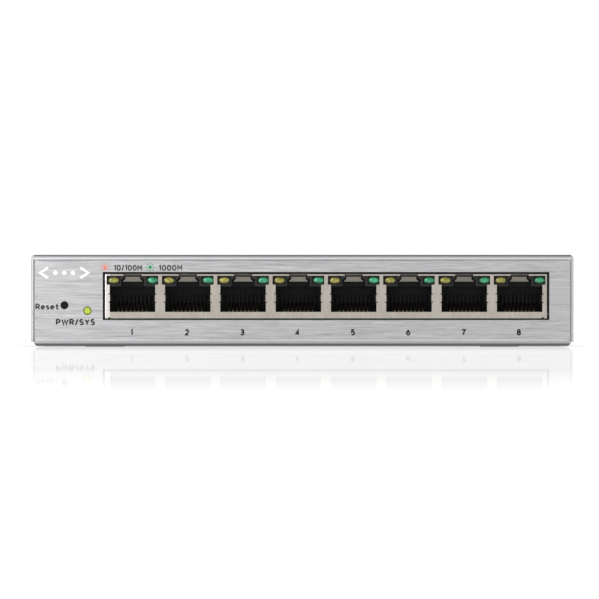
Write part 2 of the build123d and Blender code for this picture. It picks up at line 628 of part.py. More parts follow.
LAMP_Z = UNDERSIDE + LAMP_Z_LIFT
for colour, lamp_x in (("amber", AMBER_X), ("green", GREEN_X)):
    with BuildPart() as port_lamps:
        # A block behind the shield with an oval domed lens at its front.
        with BuildSketch(facing_front(HOUSING_FRONT + LAMP_SETBACK)):
            for port_x in PORTS:
                with Locations((port_x + lamp_x, LAMP_Z)):
                    Rectangle(LAMP_BODY_WIDTH, LAMP_BODY_HEIGHT)
        extrude(amount=-LAMP_BODY_DEPTH)
        with BuildSketch(facing_front(HOUSING_FRONT + LAMP_SETBACK)):
            for port_x in PORTS:
                with Locations((port_x + lamp_x, LAMP_Z)):
                    Ellipse(LENS_WIDTH / 2, LENS_HEIGHT / 2)
        extrude(amount=LENS_DEPTH)
        fillet(port_lamps.faces().group_by(Axis.Y)[0].edges(), LENS_ROUND)
    pieces[f"port_lamps_{colour}"] = port_lamps

with BuildPart() as port_lamp_leads:
    for lead_x, lead_y in LAMP_LEADS:
        with BuildLine(facing_right(lead_x)) as lead:
            FilletPolyline(
                (HOUSING_FRONT + LAMP_SETBACK + LAMP_BODY_DEPTH, LAMP_Z),
                (lead_y, LAMP_Z),
                (lead_y, TAIL_END),
                radius=LAMP_LEAD_BEND,
            )
        with BuildSketch(Plane(origin=lead.line @ 0, z_dir=lead.line % 0)):
            Circle(LAMP_LEAD_RADIUS)
        sweep(path=lead.line)
pieces["port_lamp_leads"] = port_lamp_leads

# ---- Reset switch and power lamp ----------------------------------------------------------------

RESET_BODY_FRONT = FRONT + 6.0
RESET_BODY_DEPTH = 3.6
RESET_BODY_SIDE = 6.0
RESET_BODY_CORNER = 0.4
RESET_WALL = 0.5
PLUNGER_RADIUS = 1.75
PLUNGER_ROUND = 0.3
PLUNGER_TIP = FRONT + 3.2
COLLAR_RADIUS = 2.3
COLLAR_THICK = 0.6
COLLAR_FRONT = RESET_BODY_FRONT + RESET_WALL + 0.05
NUB_RADIUS = 0.8
NUB_LENGTH = 0.6
RESET_CAVITY_REAR = RESET_BODY_FRONT + 3.0

with BuildPart() as reset_switch_body:
    with BuildSketch(facing_front(RESET_BODY_FRONT)):
        with Locations((RESET_X, RESET_Z)):
            RectangleRounded(RESET_BODY_SIDE, RESET_BODY_SIDE - 2 * RUNNING_CLEARANCE, RESET_BODY_CORNER)
    extrude(amount=-RESET_BODY_DEPTH)
    with BuildSketch(facing_front(RESET_BODY_FRONT)):
        with Locations((RESET_X, RESET_Z)):
            Circle(PLUNGER_RADIUS + RUNNING_CLEARANCE)
    extrude(amount=-RESET_WALL, mode=Mode.SUBTRACT)
    with BuildSketch(facing_front(RESET_BODY_FRONT + RESET_WALL)):
        with Locations((RESET_X, RESET_Z)):
            Circle(COLLAR_RADIUS + RUNNING_CLEARANCE)
    extrude(amount=RESET_BODY_FRONT + RESET_WALL - RESET_CAVITY_REAR, mode=Mode.SUBTRACT)
pieces["reset_switch_body"] = reset_switch_body

with BuildPart() as reset_plunger:
    # The button, retained by its collar, with a nub that works the snap dome.
    with BuildSketch(facing_front(PLUNGER_TIP)):
        with Locations((RESET_X, RESET_Z)):
            Circle(PLUNGER_RADIUS)
    extrude(amount=PLUNGER_TIP - COLLAR_FRONT)
    fillet(reset_plunger.faces().sort_by(Axis.Y)[0].edges(), PLUNGER_ROUND)
    with BuildSketch(facing_front(COLLAR_FRONT)):
        with Locations((RESET_X, RESET_Z)):
            Circle(COLLAR_RADIUS)
    extrude(amount=-COLLAR_THICK)
    with BuildSketch(facing_front(COLLAR_FRONT + COLLAR_THICK)):
        with Locations((RESET_X, RESET_Z)):
            Circle(NUB_RADIUS)
    extrude(amount=-NUB_LENGTH)
pieces["reset_plunger"] = reset_plunger

DOME_RADIUS = 2.1
DOME_RISE = 0.35
DOME_SHEET = 0.1
DOME_LIFT = 0.12
with BuildPart() as reset_snap_dome:
    # A thin sprung disc that bows towards the plunger.
    with BuildSketch(Plane(origin=(RESET_X, 0, RESET_Z), x_dir=(1, 0, 0), z_dir=(0, 0, 1))):
        with BuildLine():
            crown = RESET_CAVITY_REAR - DOME_LIFT - DOME_RISE
            ThreePointArc(
                (-DOME_RADIUS, RESET_CAVITY_REAR - DOME_SHEET),
                (0, crown - DOME_SHEET / 2),
                (DOME_RADIUS, RESET_CAVITY_REAR - DOME_SHEET),
            )
            Line((DOME_RADIUS, RESET_CAVITY_REAR - DOME_SHEET), (DOME_RADIUS, RESET_CAVITY_REAR))
            ThreePointArc(
                (DOME_RADIUS, RESET_CAVITY_REAR),
                (0, crown + DOME_SHEET / 2),
                (-DOME_RADIUS, RESET_CAVITY_REAR),
            )
            Line((-DOME_RADIUS, RESET_CAVITY_REAR), (-DOME_RADIUS, RESET_CAVITY_REAR - DOME_SHEET))
        make_face()
        with Locations((-DOME_RADIUS, RESET_CAVITY_REAR)):
            Rectangle(2 * DOME_RADIUS, 2 * DOME_RADIUS, mode=Mode.SUBTRACT)
    revolve(axis=Axis((RESET_X, 0, RESET_Z), (0, 1, 0)))
pieces["reset_snap_dome"] = reset_snap_dome

FRAME_SHEET = 0.25
FRAME_TAB_WIDTH = 1.2
with BuildPart() as reset_switch_frame:
    # A folded metal frame that holds the switch upright on the board.
    with BuildSketch(level(BOARD_TOP)):
        with Locations((RESET_X, RESET_BODY_FRONT + RESET_BODY_DEPTH / 2)):
            Rectangle(RESET_BODY_SIDE + 2 * FRAME_SHEET, RESET_BODY_DEPTH)
            Rectangle(RESET_BODY_SIDE, RESET_BODY_DEPTH, mode=Mode.SUBTRACT)
    extrude(amount=RESET_Z + RESET_BODY_SIDE / 2 + FRAME_SHEET - BOARD_TOP)
    with BuildSketch(level(RESET_Z + RESET_BODY_SIDE / 2)):
        with Locations((RESET_X, RESET_BODY_FRONT + RESET_BODY_DEPTH / 2)):
            Rectangle(RESET_BODY_SIDE + 2 * FRAME_SHEET, RESET_BODY_DEPTH)
    extrude(amount=FRAME_SHEET)
    with BuildSketch(level(BOARD_TOP)):
        with Locations((RESET_X, RESET_BODY_FRONT + RESET_BODY_DEPTH / 2)):
            with GridLocations(RESET_BODY_SIDE + FRAME_SHEET, 0, 2, 1):
                Rectangle(FRAME_SHEET, FRAME_TAB_WIDTH)
    extrude(amount=TAIL_END - BOARD_TOP)
pieces["reset_switch_frame"] = reset_switch_frame

RESET_PIN_OFFSETS = (-2.25, 2.25)
RESET_PIN_Y = RESET_BODY_FRONT + RESET_BODY_DEPTH + 1.0
RESET_PIN_Z = RESET_Z - 2.0
RESET_PIN_BEND = 0.5
RESET_PIN_RADIUS = 0.3

with BuildPart() as reset_switch_pins:
    for offset in RESET_PIN_OFFSETS:
        with BuildLine(facing_right(RESET_X + offset)) as pin:
            FilletPolyline(
                (RESET_BODY_FRONT + RESET_BODY_DEPTH, RESET_PIN_Z),
                (RESET_PIN_Y, RESET_PIN_Z),
                (RESET_PIN_Y, TAIL_END),
                radius=RESET_PIN_BEND,
            )
        with BuildSketch(Plane(origin=pin.line @ 0, z_dir=pin.line % 0)):
            Circle(RESET_PIN_RADIUS)
        sweep(path=pin.line)
pieces["reset_switch_pins"] = reset_switch_pins

HOLDER_FRONT = FRONT + 4.6
HOLDER_WIDTH = 3.4
HOLDER_DEPTH = 3.8
HOLDER_HEIGHT = 3.6
LAMP_FLANGE_RADIUS = 1.25
LAMP_FLANGE_DEPTH = 1.5
POWER_LEAD_OFFSETS = (-0.6, 0.6)
POWER_LENS_ROUND = 0.5
HOLDER_SLOT = (1.9, 2.0)
HOLDER_SLOT_SETBACK = 2.5
HOLDER_SLOT_HEIGHT = 2.4

with BuildPart() as power_lamp:
    # A round lens that looks through the panel, with a flange in its holder.
    with BuildSketch(facing_front(HOLDER_FRONT + LAMP_FLANGE_DEPTH)):
        with Locations((POWER_LAMP_X, POWER_LAMP_Z)):
            Circle(LAMP_FLANGE_RADIUS)
    extrude(amount=LAMP_FLANGE_DEPTH)
    with BuildSketch(facing_front(HOLDER_FRONT)):
        with Locations((POWER_LAMP_X, POWER_LAMP_Z)):
            Circle(POWER_LAMP_RADIUS)
    extrude(amount=HOLDER_FRONT - FRONT - RUNNING_CLEARANCE)
    fillet(power_lamp.faces().sort_by(Axis.Y)[0].edges(), POWER_LENS_ROUND)
pieces["power_lamp"] = power_lamp

with BuildPart() as power_lamp_holder:
    with BuildSketch(level(BOARD_TOP)):
        with Locations((POWER_LAMP_X, HOLDER_FRONT + HOLDER_DEPTH / 2)):
            Rectangle(HOLDER_WIDTH, HOLDER_DEPTH)
    extrude(amount=HOLDER_HEIGHT)
    with BuildSketch(facing_front(HOLDER_FRONT)):
        with Locations((POWER_LAMP_X, POWER_LAMP_Z)):
            Circle(LAMP_FLANGE_RADIUS + RUNNING_CLEARANCE)
    extrude(amount=-LAMP_FLANGE_DEPTH, mode=Mode.SUBTRACT)
    with BuildSketch(level(BOARD_TOP)):
        with Locations((POWER_LAMP_X, HOLDER_FRONT + HOLDER_SLOT_SETBACK)):
            Rectangle(*HOLDER_SLOT)
    extrude(amount=HOLDER_SLOT_HEIGHT, mode=Mode.SUBTRACT)
pieces["power_lamp_holder"] = power_lamp_holder

POWER_LEAD_Y = HOLDER_FRONT + 2.7
with BuildPart() as power_lamp_leads:
    for offset in POWER_LEAD_OFFSETS:
        with BuildLine(facing_right(POWER_LAMP_X + offset)) as lead:
            FilletPolyline(
                (HOLDER_FRONT + LAMP_FLANGE_DEPTH, POWER_LAMP_Z),
                (POWER_LEAD_Y, POWER_LAMP_Z),
                (POWER_LEAD_Y, TAIL_END),
                radius=LAMP_LEAD_BEND,
            )
        with BuildSketch(Plane(origin=lead.line @ 0, z_dir=lead.line % 0)):
            Circle(LAMP_LEAD_RADIUS)
        sweep(path=lead.line)
pieces["power_lamp_leads"] = power_lamp_leads

# ---- Rear: power inlet and rocker switch --------------------------------------------------------

INLET_BACK = INLET_FACE - INLET_DEPTH
INLET_SPRING_Y = INLET_BACK + 3.4
INLET_TAB_THICK = 0.5
INLET_TAB_WIDTH = 2.6
INLET_CORNER = 0.4
INLET_MOUTH_CHAMFER = 0.4
SPRING_SLOT = (3.0, 7.0)
SPRING_SLOT_Y = INLET_BACK + 6.0
SPRING_SLOT_HEIGHT = 4.5
SPRING_LINE = [
    (INLET_SPRING_Y, TAIL_END),
    (INLET_SPRING_Y, BOARD_TOP + 2.2),
    (INLET_BACK + 6.4, BOARD_TOP + 3.6),
    (INLET_BACK + 8.8, BOARD_TOP + 2.9),
]
SPRING_BEND = 0.5
SPRING_SHEET = 0.3
SPRING_WIDTH = 2.4

with BuildPart() as dc_inlet_body:
    with BuildSketch(facing_front(INLET_FACE)):
        with Locations((INLET_X, BOARD_TOP + INLET_HEIGHT / 2)):
            RectangleRounded(INLET_WIDTH, INLET_HEIGHT, INLET_CORNER)
    extrude(amount=INLET_DEPTH)
    with BuildSketch(facing_front(INLET_FACE)):
        with Locations((INLET_X, INLET_Z)):
            Circle(INLET_BORE_RADIUS)
    extrude(amount=INLET_BORE_DEPTH, mode=Mode.SUBTRACT)
    mouth = dc_inlet_body.faces().sort_by(Axis.Y)[-1].inner_wires()[0]
    chamfer(mouth.edges(), INLET_MOUTH_CHAMFER)
    with BuildSketch(facing_front(INLET_FACE)):
        with Locations((INLET_X, INLET_Z)):
            Circle(INLET_PIN_ROOT_RADIUS)
    extrude(amount=INLET_DEPTH, mode=Mode.SUBTRACT)
    # The slot below the bore for the sleeve contact.
    with BuildSketch(level(BOARD_TOP)):
        with Locations((INLET_X, SPRING_SLOT_Y)):
            Rectangle(*SPRING_SLOT)
    extrude(amount=SPRING_SLOT_HEIGHT, mode=Mode.SUBTRACT)
pieces["dc_inlet_body"] = dc_inlet_body

with BuildPart() as dc_inlet_pin:
    with BuildSketch(facing_front(INLET_FACE - INLET_PIN_RECESS)):
        with Locations((INLET_X, INLET_Z)):
            Circle(INLET_PIN_RADIUS)
    extrude(amount=INLET_BORE_DEPTH - INLET_PIN_RECESS)
    fillet(dc_inlet_pin.faces().sort_by(Axis.Y)[-1].edges(), INLET_PIN_ROUND)
    with BuildSketch(facing_front(INLET_FACE - INLET_BORE_DEPTH)):
        with Locations((INLET_X, INLET_Z)):
            Circle(INLET_PIN_ROOT_RADIUS)
    extrude(amount=INLET_DEPTH - INLET_BORE_DEPTH)
    with BuildSketch(level(TAIL_END)):
        with Locations((INLET_X, INLET_BACK - INLET_TAB_THICK / 2)):
            Rectangle(INLET_TAB_WIDTH, INLET_TAB_THICK)
    extrude(amount=INLET_Z - TAIL_END)
pieces["dc_inlet_pin"] = dc_inlet_pin

with BuildPart() as dc_inlet_spring:
    # A leaf that presses on the plug's sleeve from below, with a tail through the board.
    with BuildSketch(facing_right(INLET_X)):
        with BuildLine():
            FilletPolyline(*SPRING_LINE, radius=SPRING_BEND)
        trace(line_width=SPRING_SHEET)
    extrude(amount=SPRING_WIDTH / 2, both=True)
pieces["dc_inlet_spring"] = dc_inlet_spring

BEZEL_WIDTH = 15.0
BEZEL_HEIGHT = 10.5
BEZEL_THICK = 1.2
BEZEL_CORNER = 0.8
BEZEL_ROUND = 0.4
BEZEL_FACE = REAR + BEZEL_THICK
PIVOT_Y = BEZEL_FACE - 2.5
ROCKER_RADIUS = 5.8
ROCKER_VALLEY = 2.6
ROCKER_HALF_HEIGHT = 3.7
ROCKER_SIDE_GAP = 0.1
ROCKER_ROUND = 0.25
WINDOW_HALF_WIDTH = 5.9
TRUNNION_RADIUS = 0.8
TERMINAL_OFFSETS = (-3.6, 3.6)
TERMINAL_DROP_SETBACK = 2.2
TERMINAL_WIDTH = 2.0
TERMINAL_THICK = 0.5
ROCKER_WELL_DEPTH = 9.0
TERMINAL_SLOT = (0.6, 4.0)
TERMINAL_SLOT_DEPTH = 5.0
TERMINAL_DEPTH = 3.0
TERMINAL_BEND = 1.2
SWITCH_BACK = REAR - BASE_SHEET - SWITCH_BODY_DEPTH

with BuildPart() as power_switch_body:
    with BuildSketch(facing_front(REAR)):
        with Locations((ROCKER_X, ROCKER_Z)):
            RectangleRounded(BEZEL_WIDTH, BEZEL_HEIGHT, BEZEL_CORNER)
    extrude(amount=-BEZEL_THICK)
    fillet(power_switch_body.faces().sort_by(Axis.Y)[-1].edges(), BEZEL_ROUND)
    with BuildSketch(facing_front(REAR)):
        with Locations((ROCKER_X, ROCKER_Z)):
            Rectangle(SWITCH_BODY_WIDTH, SWITCH_BODY_HEIGHT)
    extrude(amount=REAR - SWITCH_BACK)
    with BuildSketch(facing_front(BEZEL_FACE)):
        with Locations((ROCKER_X, ROCKER_Z)):
            Rectangle(2 * WINDOW_HALF_WIDTH, 2 * (ROCKER_HALF_HEIGHT + ROCKER_SIDE_GAP))
    extrude(amount=ROCKER_WELL_DEPTH, mode=Mode.SUBTRACT)
    with BuildSketch(level(ROCKER_Z)):
        with Locations((ROCKER_X, PIVOT_Y)):
            Circle(TRUNNION_RADIUS + RUNNING_CLEARANCE)
    extrude(amount=SWITCH_BODY_HEIGHT, both=True, mode=Mode.SUBTRACT)
    # Slots in the back for the terminals.
    with BuildSketch(facing_front(SWITCH_BACK)):
        with Locations(*[(ROCKER_X + offset, ROCKER_Z) for offset in TERMINAL_OFFSETS]):
            Rectangle(*TERMINAL_SLOT)
    extrude(amount=-TERMINAL_SLOT_DEPTH, mode=Mode.SUBTRACT)
pieces["power_switch_body"] = power_switch_body

SLOPE = radians(ROCKER_THROW / 2)
END_X = (
    sqrt(ROCKER_RADIUS**2 * (1 + tan(SLOPE) ** 2) - ROCKER_VALLEY**2) - ROCKER_VALLEY * tan(SLOPE)
) / (1 + tan(SLOPE) ** 2)
END_Y = ROCKER_VALLEY + END_X * tan(SLOPE)
FOOT_Y = -0.6
FOOT_FLAT_HALF = 1.5
FOOT_DROP = 0.6
FOOT_END_X = sqrt(ROCKER_RADIUS**2 - FOOT_Y**2)
with BuildPart() as power_rocker:
    # Two sloping faces meet in a valley; the ends are arcs about the pivot, so that they clear the
    # window as the rocker tips.
    with BuildSketch(level(ROCKER_Z)):
        with BuildLine():
            Polyline((-END_X, END_Y), (0, ROCKER_VALLEY), (END_X, END_Y))
            RadiusArc((END_X, END_Y), (FOOT_END_X, FOOT_Y), ROCKER_RADIUS)
            Polyline(
                (FOOT_END_X, FOOT_Y),
                (FOOT_FLAT_HALF, FOOT_Y - FOOT_DROP),
                (-FOOT_FLAT_HALF, FOOT_Y - FOOT_DROP),
                (-FOOT_END_X, FOOT_Y),
            )
            RadiusArc((-FOOT_END_X, FOOT_Y), (-END_X, END_Y), ROCKER_RADIUS)
        make_face()
    extrude(amount=ROCKER_HALF_HEIGHT, both=True)
    top_edges = power_rocker.edges().filter_by(GeomType.LINE).filter_by(
        lambda edge: edge.center().Y > ROCKER_VALLEY
    )
    fillet(top_edges, ROCKER_ROUND)
    with BuildSketch(level(ROCKER_Z)):
        Circle(TRUNNION_RADIUS)
    extrude(amount=SWITCH_BODY_HEIGHT / 2 - RUNNING_CLEARANCE, both=True)
# The rocker rests tipped to one side.
rested = power_rocker.part.rotate(Axis((0, 0, 0), (0, 0, 1)), ROCKER_THROW / 2)
with BuildPart() as placed_rocker:
    with Locations((ROCKER_X, PIVOT_Y)):
        add(rested)
pieces["power_rocker"] = placed_rocker

with BuildPart() as power_switch_terminals:
    for offset in TERMINAL_OFFSETS:
        with BuildSketch(facing_right(ROCKER_X + offset)):
            with BuildLine():
                FilletPolyline(
                    (SWITCH_BACK + TERMINAL_DEPTH, ROCKER_Z),
                    (SWITCH_BACK - TERMINAL_DROP_SETBACK, ROCKER_Z),
                    (SWITCH_BACK - TERMINAL_DROP_SETBACK, TAIL_END),
                    radius=TERMINAL_BEND,
                )
            trace(line_width=TERMINAL_WIDTH)
        extrude(amount=TERMINAL_THICK / 2, both=True)
pieces["power_switch_terminals"] = power_switch_terminals

# ---- Parts on the circuit board -----------------------------------------------------------------

CHIP_X = JACK_X
CHIP_Y = FRONT + 58.0
CHIP_SIDE = 20.0
CHIP_HEIGHT = 1.4
CHIP_GAP = 0.1
CHIP_CHAMFER = 0.6
LEAD_THICK = 0.15
LEAD_PITCH = 1.2
LEAD_SHOULDER = 0.35
LEAD_FOOT_START = 0.65
TRANSFORMER_LEAD_PITCH = PORT_PITCH / 6
TRANSFORMER_Y = FRONT + 29.0
TRANSFORMER_SIZE = (26.4, 15.0, 6.4)
TRANSFORMER_GAP = 0.3
TRANSFORMER_CHAMFER = 0.3
TRANSFORMERS = [(PORTS[first] + PORT_PITCH / 2, TRANSFORMER_Y) for first in range(0, PORT_COUNT, 2)]
SMALL_CHIPS = [(-38.0, FRONT + 52.0), (32.0, FRONT + 66.0), (-30.0, FRONT + 76.0)]
FLASH_PLACE = SMALL_CHIPS[0]
REGULATOR_PLACES = SMALL_CHIPS[1:]
SMALL_CHIP_SIZE = (5.0, 4.0, 1.5)
SMALL_CHIP_CHAMFER = 0.2
INDUCTORS = [(42.0, FRONT + 62.0), (-20.0, FRONT + 80.0)]
CAPACITORS = [(-12.0, FRONT + 88.0), (-2.0, FRONT + 88.0), (52.0, FRONT + 66.0), (-36.0, FRONT + 86.0)]
CRYSTAL_PLACE = (-14.0, FRONT + 50.0)
RESISTOR_ROWS = [(port_x, FRONT + 39.5) for port_x in PORTS]
CERAMIC_ROWS = [(CHIP_X, CHIP_Y - 15.0), (CHIP_X, CHIP_Y + 15.0)]
CHIP_PART = (1.6, 0.8)
BOARD_CORNER = 1.0
BOARD_SCREW_HOLE = 1.6
LEAD_HOLE = 0.32
PIN_HOLE = 0.45
TAB_HOLE = (0.5, 1.5)
INLET_HOLE = (3.0, 1.0)
TERMINAL_HOLE = (0.9, 2.4)
PIN_HOLES = [(RESET_X + offset, RESET_PIN_Y) for offset in RESET_PIN_OFFSETS]
POWER_LEAD_HOLES = [(POWER_LAMP_X + offset, POWER_LEAD_Y) for offset in POWER_LEAD_OFFSETS]
TERMINAL_HOLES = [
    (ROCKER_X + offset, SWITCH_BACK - TERMINAL_DROP_SETBACK) for offset in TERMINAL_OFFSETS
]
FRAME_HOLES = [
    (RESET_X + side * (RESET_BODY_SIDE + FRAME_SHEET) / 2, RESET_BODY_FRONT + RESET_BODY_DEPTH / 2)
    for side in (-1, 1)
]

with BuildPart() as circuit_board:
    with BuildSketch(level(BOARD_BOTTOM)):
        with Locations((0, (BOARD_FRONT + BOARD_REAR) / 2)):
            RectangleRounded(BOARD_WIDTH, BOARD_REAR - BOARD_FRONT, BOARD_CORNER)
        with Locations(*STANDOFFS):
            Circle(BOARD_SCREW_HOLE, mode=Mode.SUBTRACT)
        with Locations(*WIRES, *LAMP_LEADS, *POWER_LEAD_HOLES):
            Circle(LEAD_HOLE, mode=Mode.SUBTRACT)
        with Locations(*PIN_HOLES):
            Circle(PIN_HOLE, mode=Mode.SUBTRACT)
        with Locations(*SOLDER_TABS, *FRAME_HOLES):
            Rectangle(*TAB_HOLE, mode=Mode.SUBTRACT)
        with Locations((INLET_X, INLET_BACK - INLET_TAB_THICK / 2), (INLET_X, INLET_SPRING_Y)):
            Rectangle(*INLET_HOLE, mode=Mode.SUBTRACT)
        with Locations(*TERMINAL_HOLES):
            Rectangle(*TERMINAL_HOLE, mode=Mode.SUBTRACT)
    extrude(amount=BOARD_THICK)
pieces["circuit_board"] = circuit_board

with BuildPart() as switch_chip:
    with BuildSketch(level(BOARD_TOP + CHIP_GAP)):
        with Locations((CHIP_X, CHIP_Y)):
            Rectangle(CHIP_SIDE, CHIP_SIDE)
    extrude(amount=CHIP_HEIGHT)
    chamfer(switch_chip.edges().filter_by(Axis.Z), CHIP_CHAMFER)
pieces["switch_chip"] = switch_chip


def gull_wing(body_half, shoulder, reach):
    """One gull-wing lead in its own plane: out from the body's side, down, and flat on the board."""
    with BuildLine() as bends:
        Polyline(
            (body_half, shoulder),
            (body_half + LEAD_SHOULDER, shoulder),
            (body_half + LEAD_FOOT_START, LEAD_THICK / 2),
            (body_half + reach, LEAD_THICK / 2),
        )
    return bends.line


def comb(length, pitch, lead_width, cut_depth):
    """The spaces between leads, along the sketch's own X."""
    gaps = int(length / pitch) + 1
    with GridLocations(pitch, 0, gaps, 1):
        Rectangle(pitch - lead_width, cut_depth)


CHIP_LEAD_ROW = 18.0
CHIP_LEAD_WIDTH = 0.5
COMB_DEPTH = 30.0
COMB_BOTTOM = BOARD_TOP - 0.5
COMB_HEIGHT = 3.5
CHIP_LEAD = (0.8, 1.4)  # the height of a lead's shoulder and how far it reaches
with BuildPart() as switch_chip_leads:
    for turn in range(4):
        side = Plane(origin=(CHIP_X, CHIP_Y, BOARD_TOP)).rotated((0, 0, 90 * turn))
        with BuildSketch(Plane(origin=side.origin, x_dir=side.x_dir, z_dir=-side.y_dir)):
            add(gull_wing(CHIP_SIDE / 2, *CHIP_LEAD))
            trace(line_width=LEAD_THICK)
        extrude(amount=CHIP_LEAD_ROW / 2, both=True)
    with BuildSketch(level(COMB_BOTTOM)):
        with Locations((CHIP_X, CHIP_Y)):
            comb(CHIP_LEAD_ROW, LEAD_PITCH, CHIP_LEAD_WIDTH, COMB_DEPTH)
        with Locations((CHIP_X, CHIP_Y)):
            Rectangle(CHIP_LEAD_ROW + 4, CHIP_SIDE, mode=Mode.SUBTRACT)
    extrude(amount=COMB_HEIGHT, mode=Mode.SUBTRACT)
    with BuildSketch(level(COMB_BOTTOM)):
        with Locations(Location((CHIP_X, CHIP_Y, 0), (0, 0, 90))):
            comb(CHIP_LEAD_ROW, LEAD_PITCH, CHIP_LEAD_WIDTH, COMB_DEPTH)
        with Locations((CHIP_X, CHIP_Y)):
            Rectangle(CHIP_SIDE, CHIP_LEAD_ROW + 4, mode=Mode.SUBTRACT)
    extrude(amount=COMB_HEIGHT, mode=Mode.SUBTRACT)
pieces["switch_chip_leads"] = switch_chip_leads

PAD_THICK = 0.5
SINK_SIDE = 24.0
SINK_BASE = 2.0
SINK_FIN = 6.0
FIN_PITCH = 3.0
FIN_GAP = 1.9
FIN_GAPS = 7
with BuildPart() as thermal_pad:
    with BuildSketch(level(BOARD_TOP + CHIP_GAP + CHIP_HEIGHT)):
        with Locations((CHIP_X, CHIP_Y)):
            Rectangle(CHIP_SIDE - 2, CHIP_SIDE - 2)
    extrude(amount=PAD_THICK)
pieces["thermal_pad"] = thermal_pad

with BuildPart() as heat_sink:
    with BuildSketch(level(BOARD_TOP + CHIP_GAP + CHIP_HEIGHT + PAD_THICK)):
        with Locations((CHIP_X, CHIP_Y)):
            Rectangle(SINK_SIDE, SINK_SIDE)
    extrude(amount=SINK_BASE + SINK_FIN)
    with BuildSketch(level(BOARD_TOP + CHIP_GAP + CHIP_HEIGHT + PAD_THICK + SINK_BASE)):
        with Locations((CHIP_X, CHIP_Y)):
            with GridLocations(FIN_PITCH, 0, FIN_GAPS, 1):
                Rectangle(FIN_GAP, SINK_SIDE)
    extrude(amount=SINK_FIN, mode=Mode.SUBTRACT)
pieces["heat_sink"] = heat_sink

with BuildPart() as line_transformers:
    with BuildSketch(level(BOARD_TOP + TRANSFORMER_GAP)):
        with Locations(*TRANSFORMERS):
            Rectangle(TRANSFORMER_SIZE[0], TRANSFORMER_SIZE[1])
    extrude(amount=TRANSFORMER_SIZE[2])
    chamfer(line_transformers.faces().group_by(Axis.Z)[-1].edges(), TRANSFORMER_CHAMFER)
pieces["line_transformers"] = line_transformers

TRANSFORMER_LEAD = (1.6, 1.6)
TRANSFORMER_LEAD_WIDTH = 0.6
TRANSFORMER_LEAD_ROW = CASE_WIDTH + 16.0
TRANSFORMER_LEAD_REACH = 12.8  # its outermost leads are this far from its middle

with BuildPart() as transformer_leads:
    for side_sign in (-1, 1):
        side = Plane(origin=(0, TRANSFORMER_Y, BOARD_TOP), x_dir=(0, side_sign, 0), z_dir=(side_sign, 0, 0))
        with BuildSketch(side):
            add(gull_wing(TRANSFORMER_SIZE[1] / 2, *TRANSFORMER_LEAD))
            trace(line_width=LEAD_THICK)
        extrude(amount=CASE_WIDTH / 2, both=True)
    with BuildSketch(level(COMB_BOTTOM)):
        with Locations((JACK_X, TRANSFORMER_Y)):
            comb(TRANSFORMER_LEAD_ROW, TRANSFORMER_LEAD_PITCH, TRANSFORMER_LEAD_WIDTH, COMB_DEPTH)
        for first, last in zip([None] + TRANSFORMERS, TRANSFORMERS + [None]):
            left = -CASE_WIDTH if first is None else first[0] + TRANSFORMER_LEAD_REACH
            right = CASE_WIDTH if last is None else last[0] - TRANSFORMER_LEAD_REACH
            with Locations(((left + right) / 2, TRANSFORMER_Y)):
                Rectangle(right - left, COMB_DEPTH)
    extrude(amount=COMB_HEIGHT, mode=Mode.SUBTRACT)
pieces["transformer_leads"] = transformer_leads

with BuildPart() as flash_chip:
    with BuildSketch(level(BOARD_TOP + CHIP_GAP)):
        with Locations(FLASH_PLACE):
            Rectangle(SMALL_CHIP_SIZE[0], SMALL_CHIP_SIZE[1])
    extrude(amount=SMALL_CHIP_SIZE[2])
    chamfer(flash_chip.faces().group_by(Axis.Z)[-1].edges(), SMALL_CHIP_CHAMFER)
pieces["flash_chip"] = flash_chip

with BuildPart() as regulator_chips:
    with BuildSketch(level(BOARD_TOP + CHIP_GAP)):
        with Locations(*REGULATOR_PLACES):
            Rectangle(SMALL_CHIP_SIZE[0], SMALL_CHIP_SIZE[1])
    extrude(amount=SMALL_CHIP_SIZE[2])
    chamfer(regulator_chips.faces().group_by(Axis.Z)[-1].edges(), SMALL_CHIP_CHAMFER)
pieces["regulator_chips"] = regulator_chips

SMALL_CHIP_LEAD = (0.7, 1.1)
SMALL_LEAD_GRID = (1.27, 0, 5, 1)
SMALL_LEAD_GAP = (0.85, 10.0)

with BuildPart() as small_chip_leads:
    for chip_x, chip_y in SMALL_CHIPS:
        for side_sign in (-1, 1):
            side = Plane(origin=(chip_x, chip_y, BOARD_TOP), x_dir=(0, side_sign, 0), z_dir=(side_sign, 0, 0))
            with BuildSketch(side):
                add(gull_wing(SMALL_CHIP_SIZE[1] / 2, *SMALL_CHIP_LEAD))
                trace(line_width=LEAD_THICK)
            extrude(amount=SMALL_CHIP_SIZE[0] / 2, both=True)
    with BuildSketch(level(COMB_BOTTOM)):
        for chip_x, chip_y in SMALL_CHIPS:
            with Locations((chip_x, chip_y)):
                with GridLocations(*SMALL_LEAD_GRID):
                    Rectangle(*SMALL_LEAD_GAP)
    extrude(amount=COMB_HEIGHT, mode=Mode.SUBTRACT)
pieces["small_chip_leads"] = small_chip_leads

CRYSTAL_FLANGE = (11.4, 4.9)
CRYSTAL_FLANGE_THICK = 0.5
CRYSTAL_CAN = (10.4, 3.9)
CRYSTAL_CAN_HEIGHT = 3.0
CRYSTAL_ROUND = 0.4

with BuildPart() as crystal:
    with BuildSketch(level(BOARD_TOP)):
        with Locations(CRYSTAL_PLACE):
            SlotOverall(*CRYSTAL_FLANGE)
    extrude(amount=CRYSTAL_FLANGE_THICK)
    with BuildSketch(level(BOARD_TOP + CRYSTAL_FLANGE_THICK)):
        with Locations(CRYSTAL_PLACE):
            SlotOverall(*CRYSTAL_CAN)
    extrude(amount=CRYSTAL_CAN_HEIGHT)
    fillet(crystal.faces().sort_by(Axis.Z)[-1].edges(), CRYSTAL_ROUND)
pieces["crystal"] = crystal

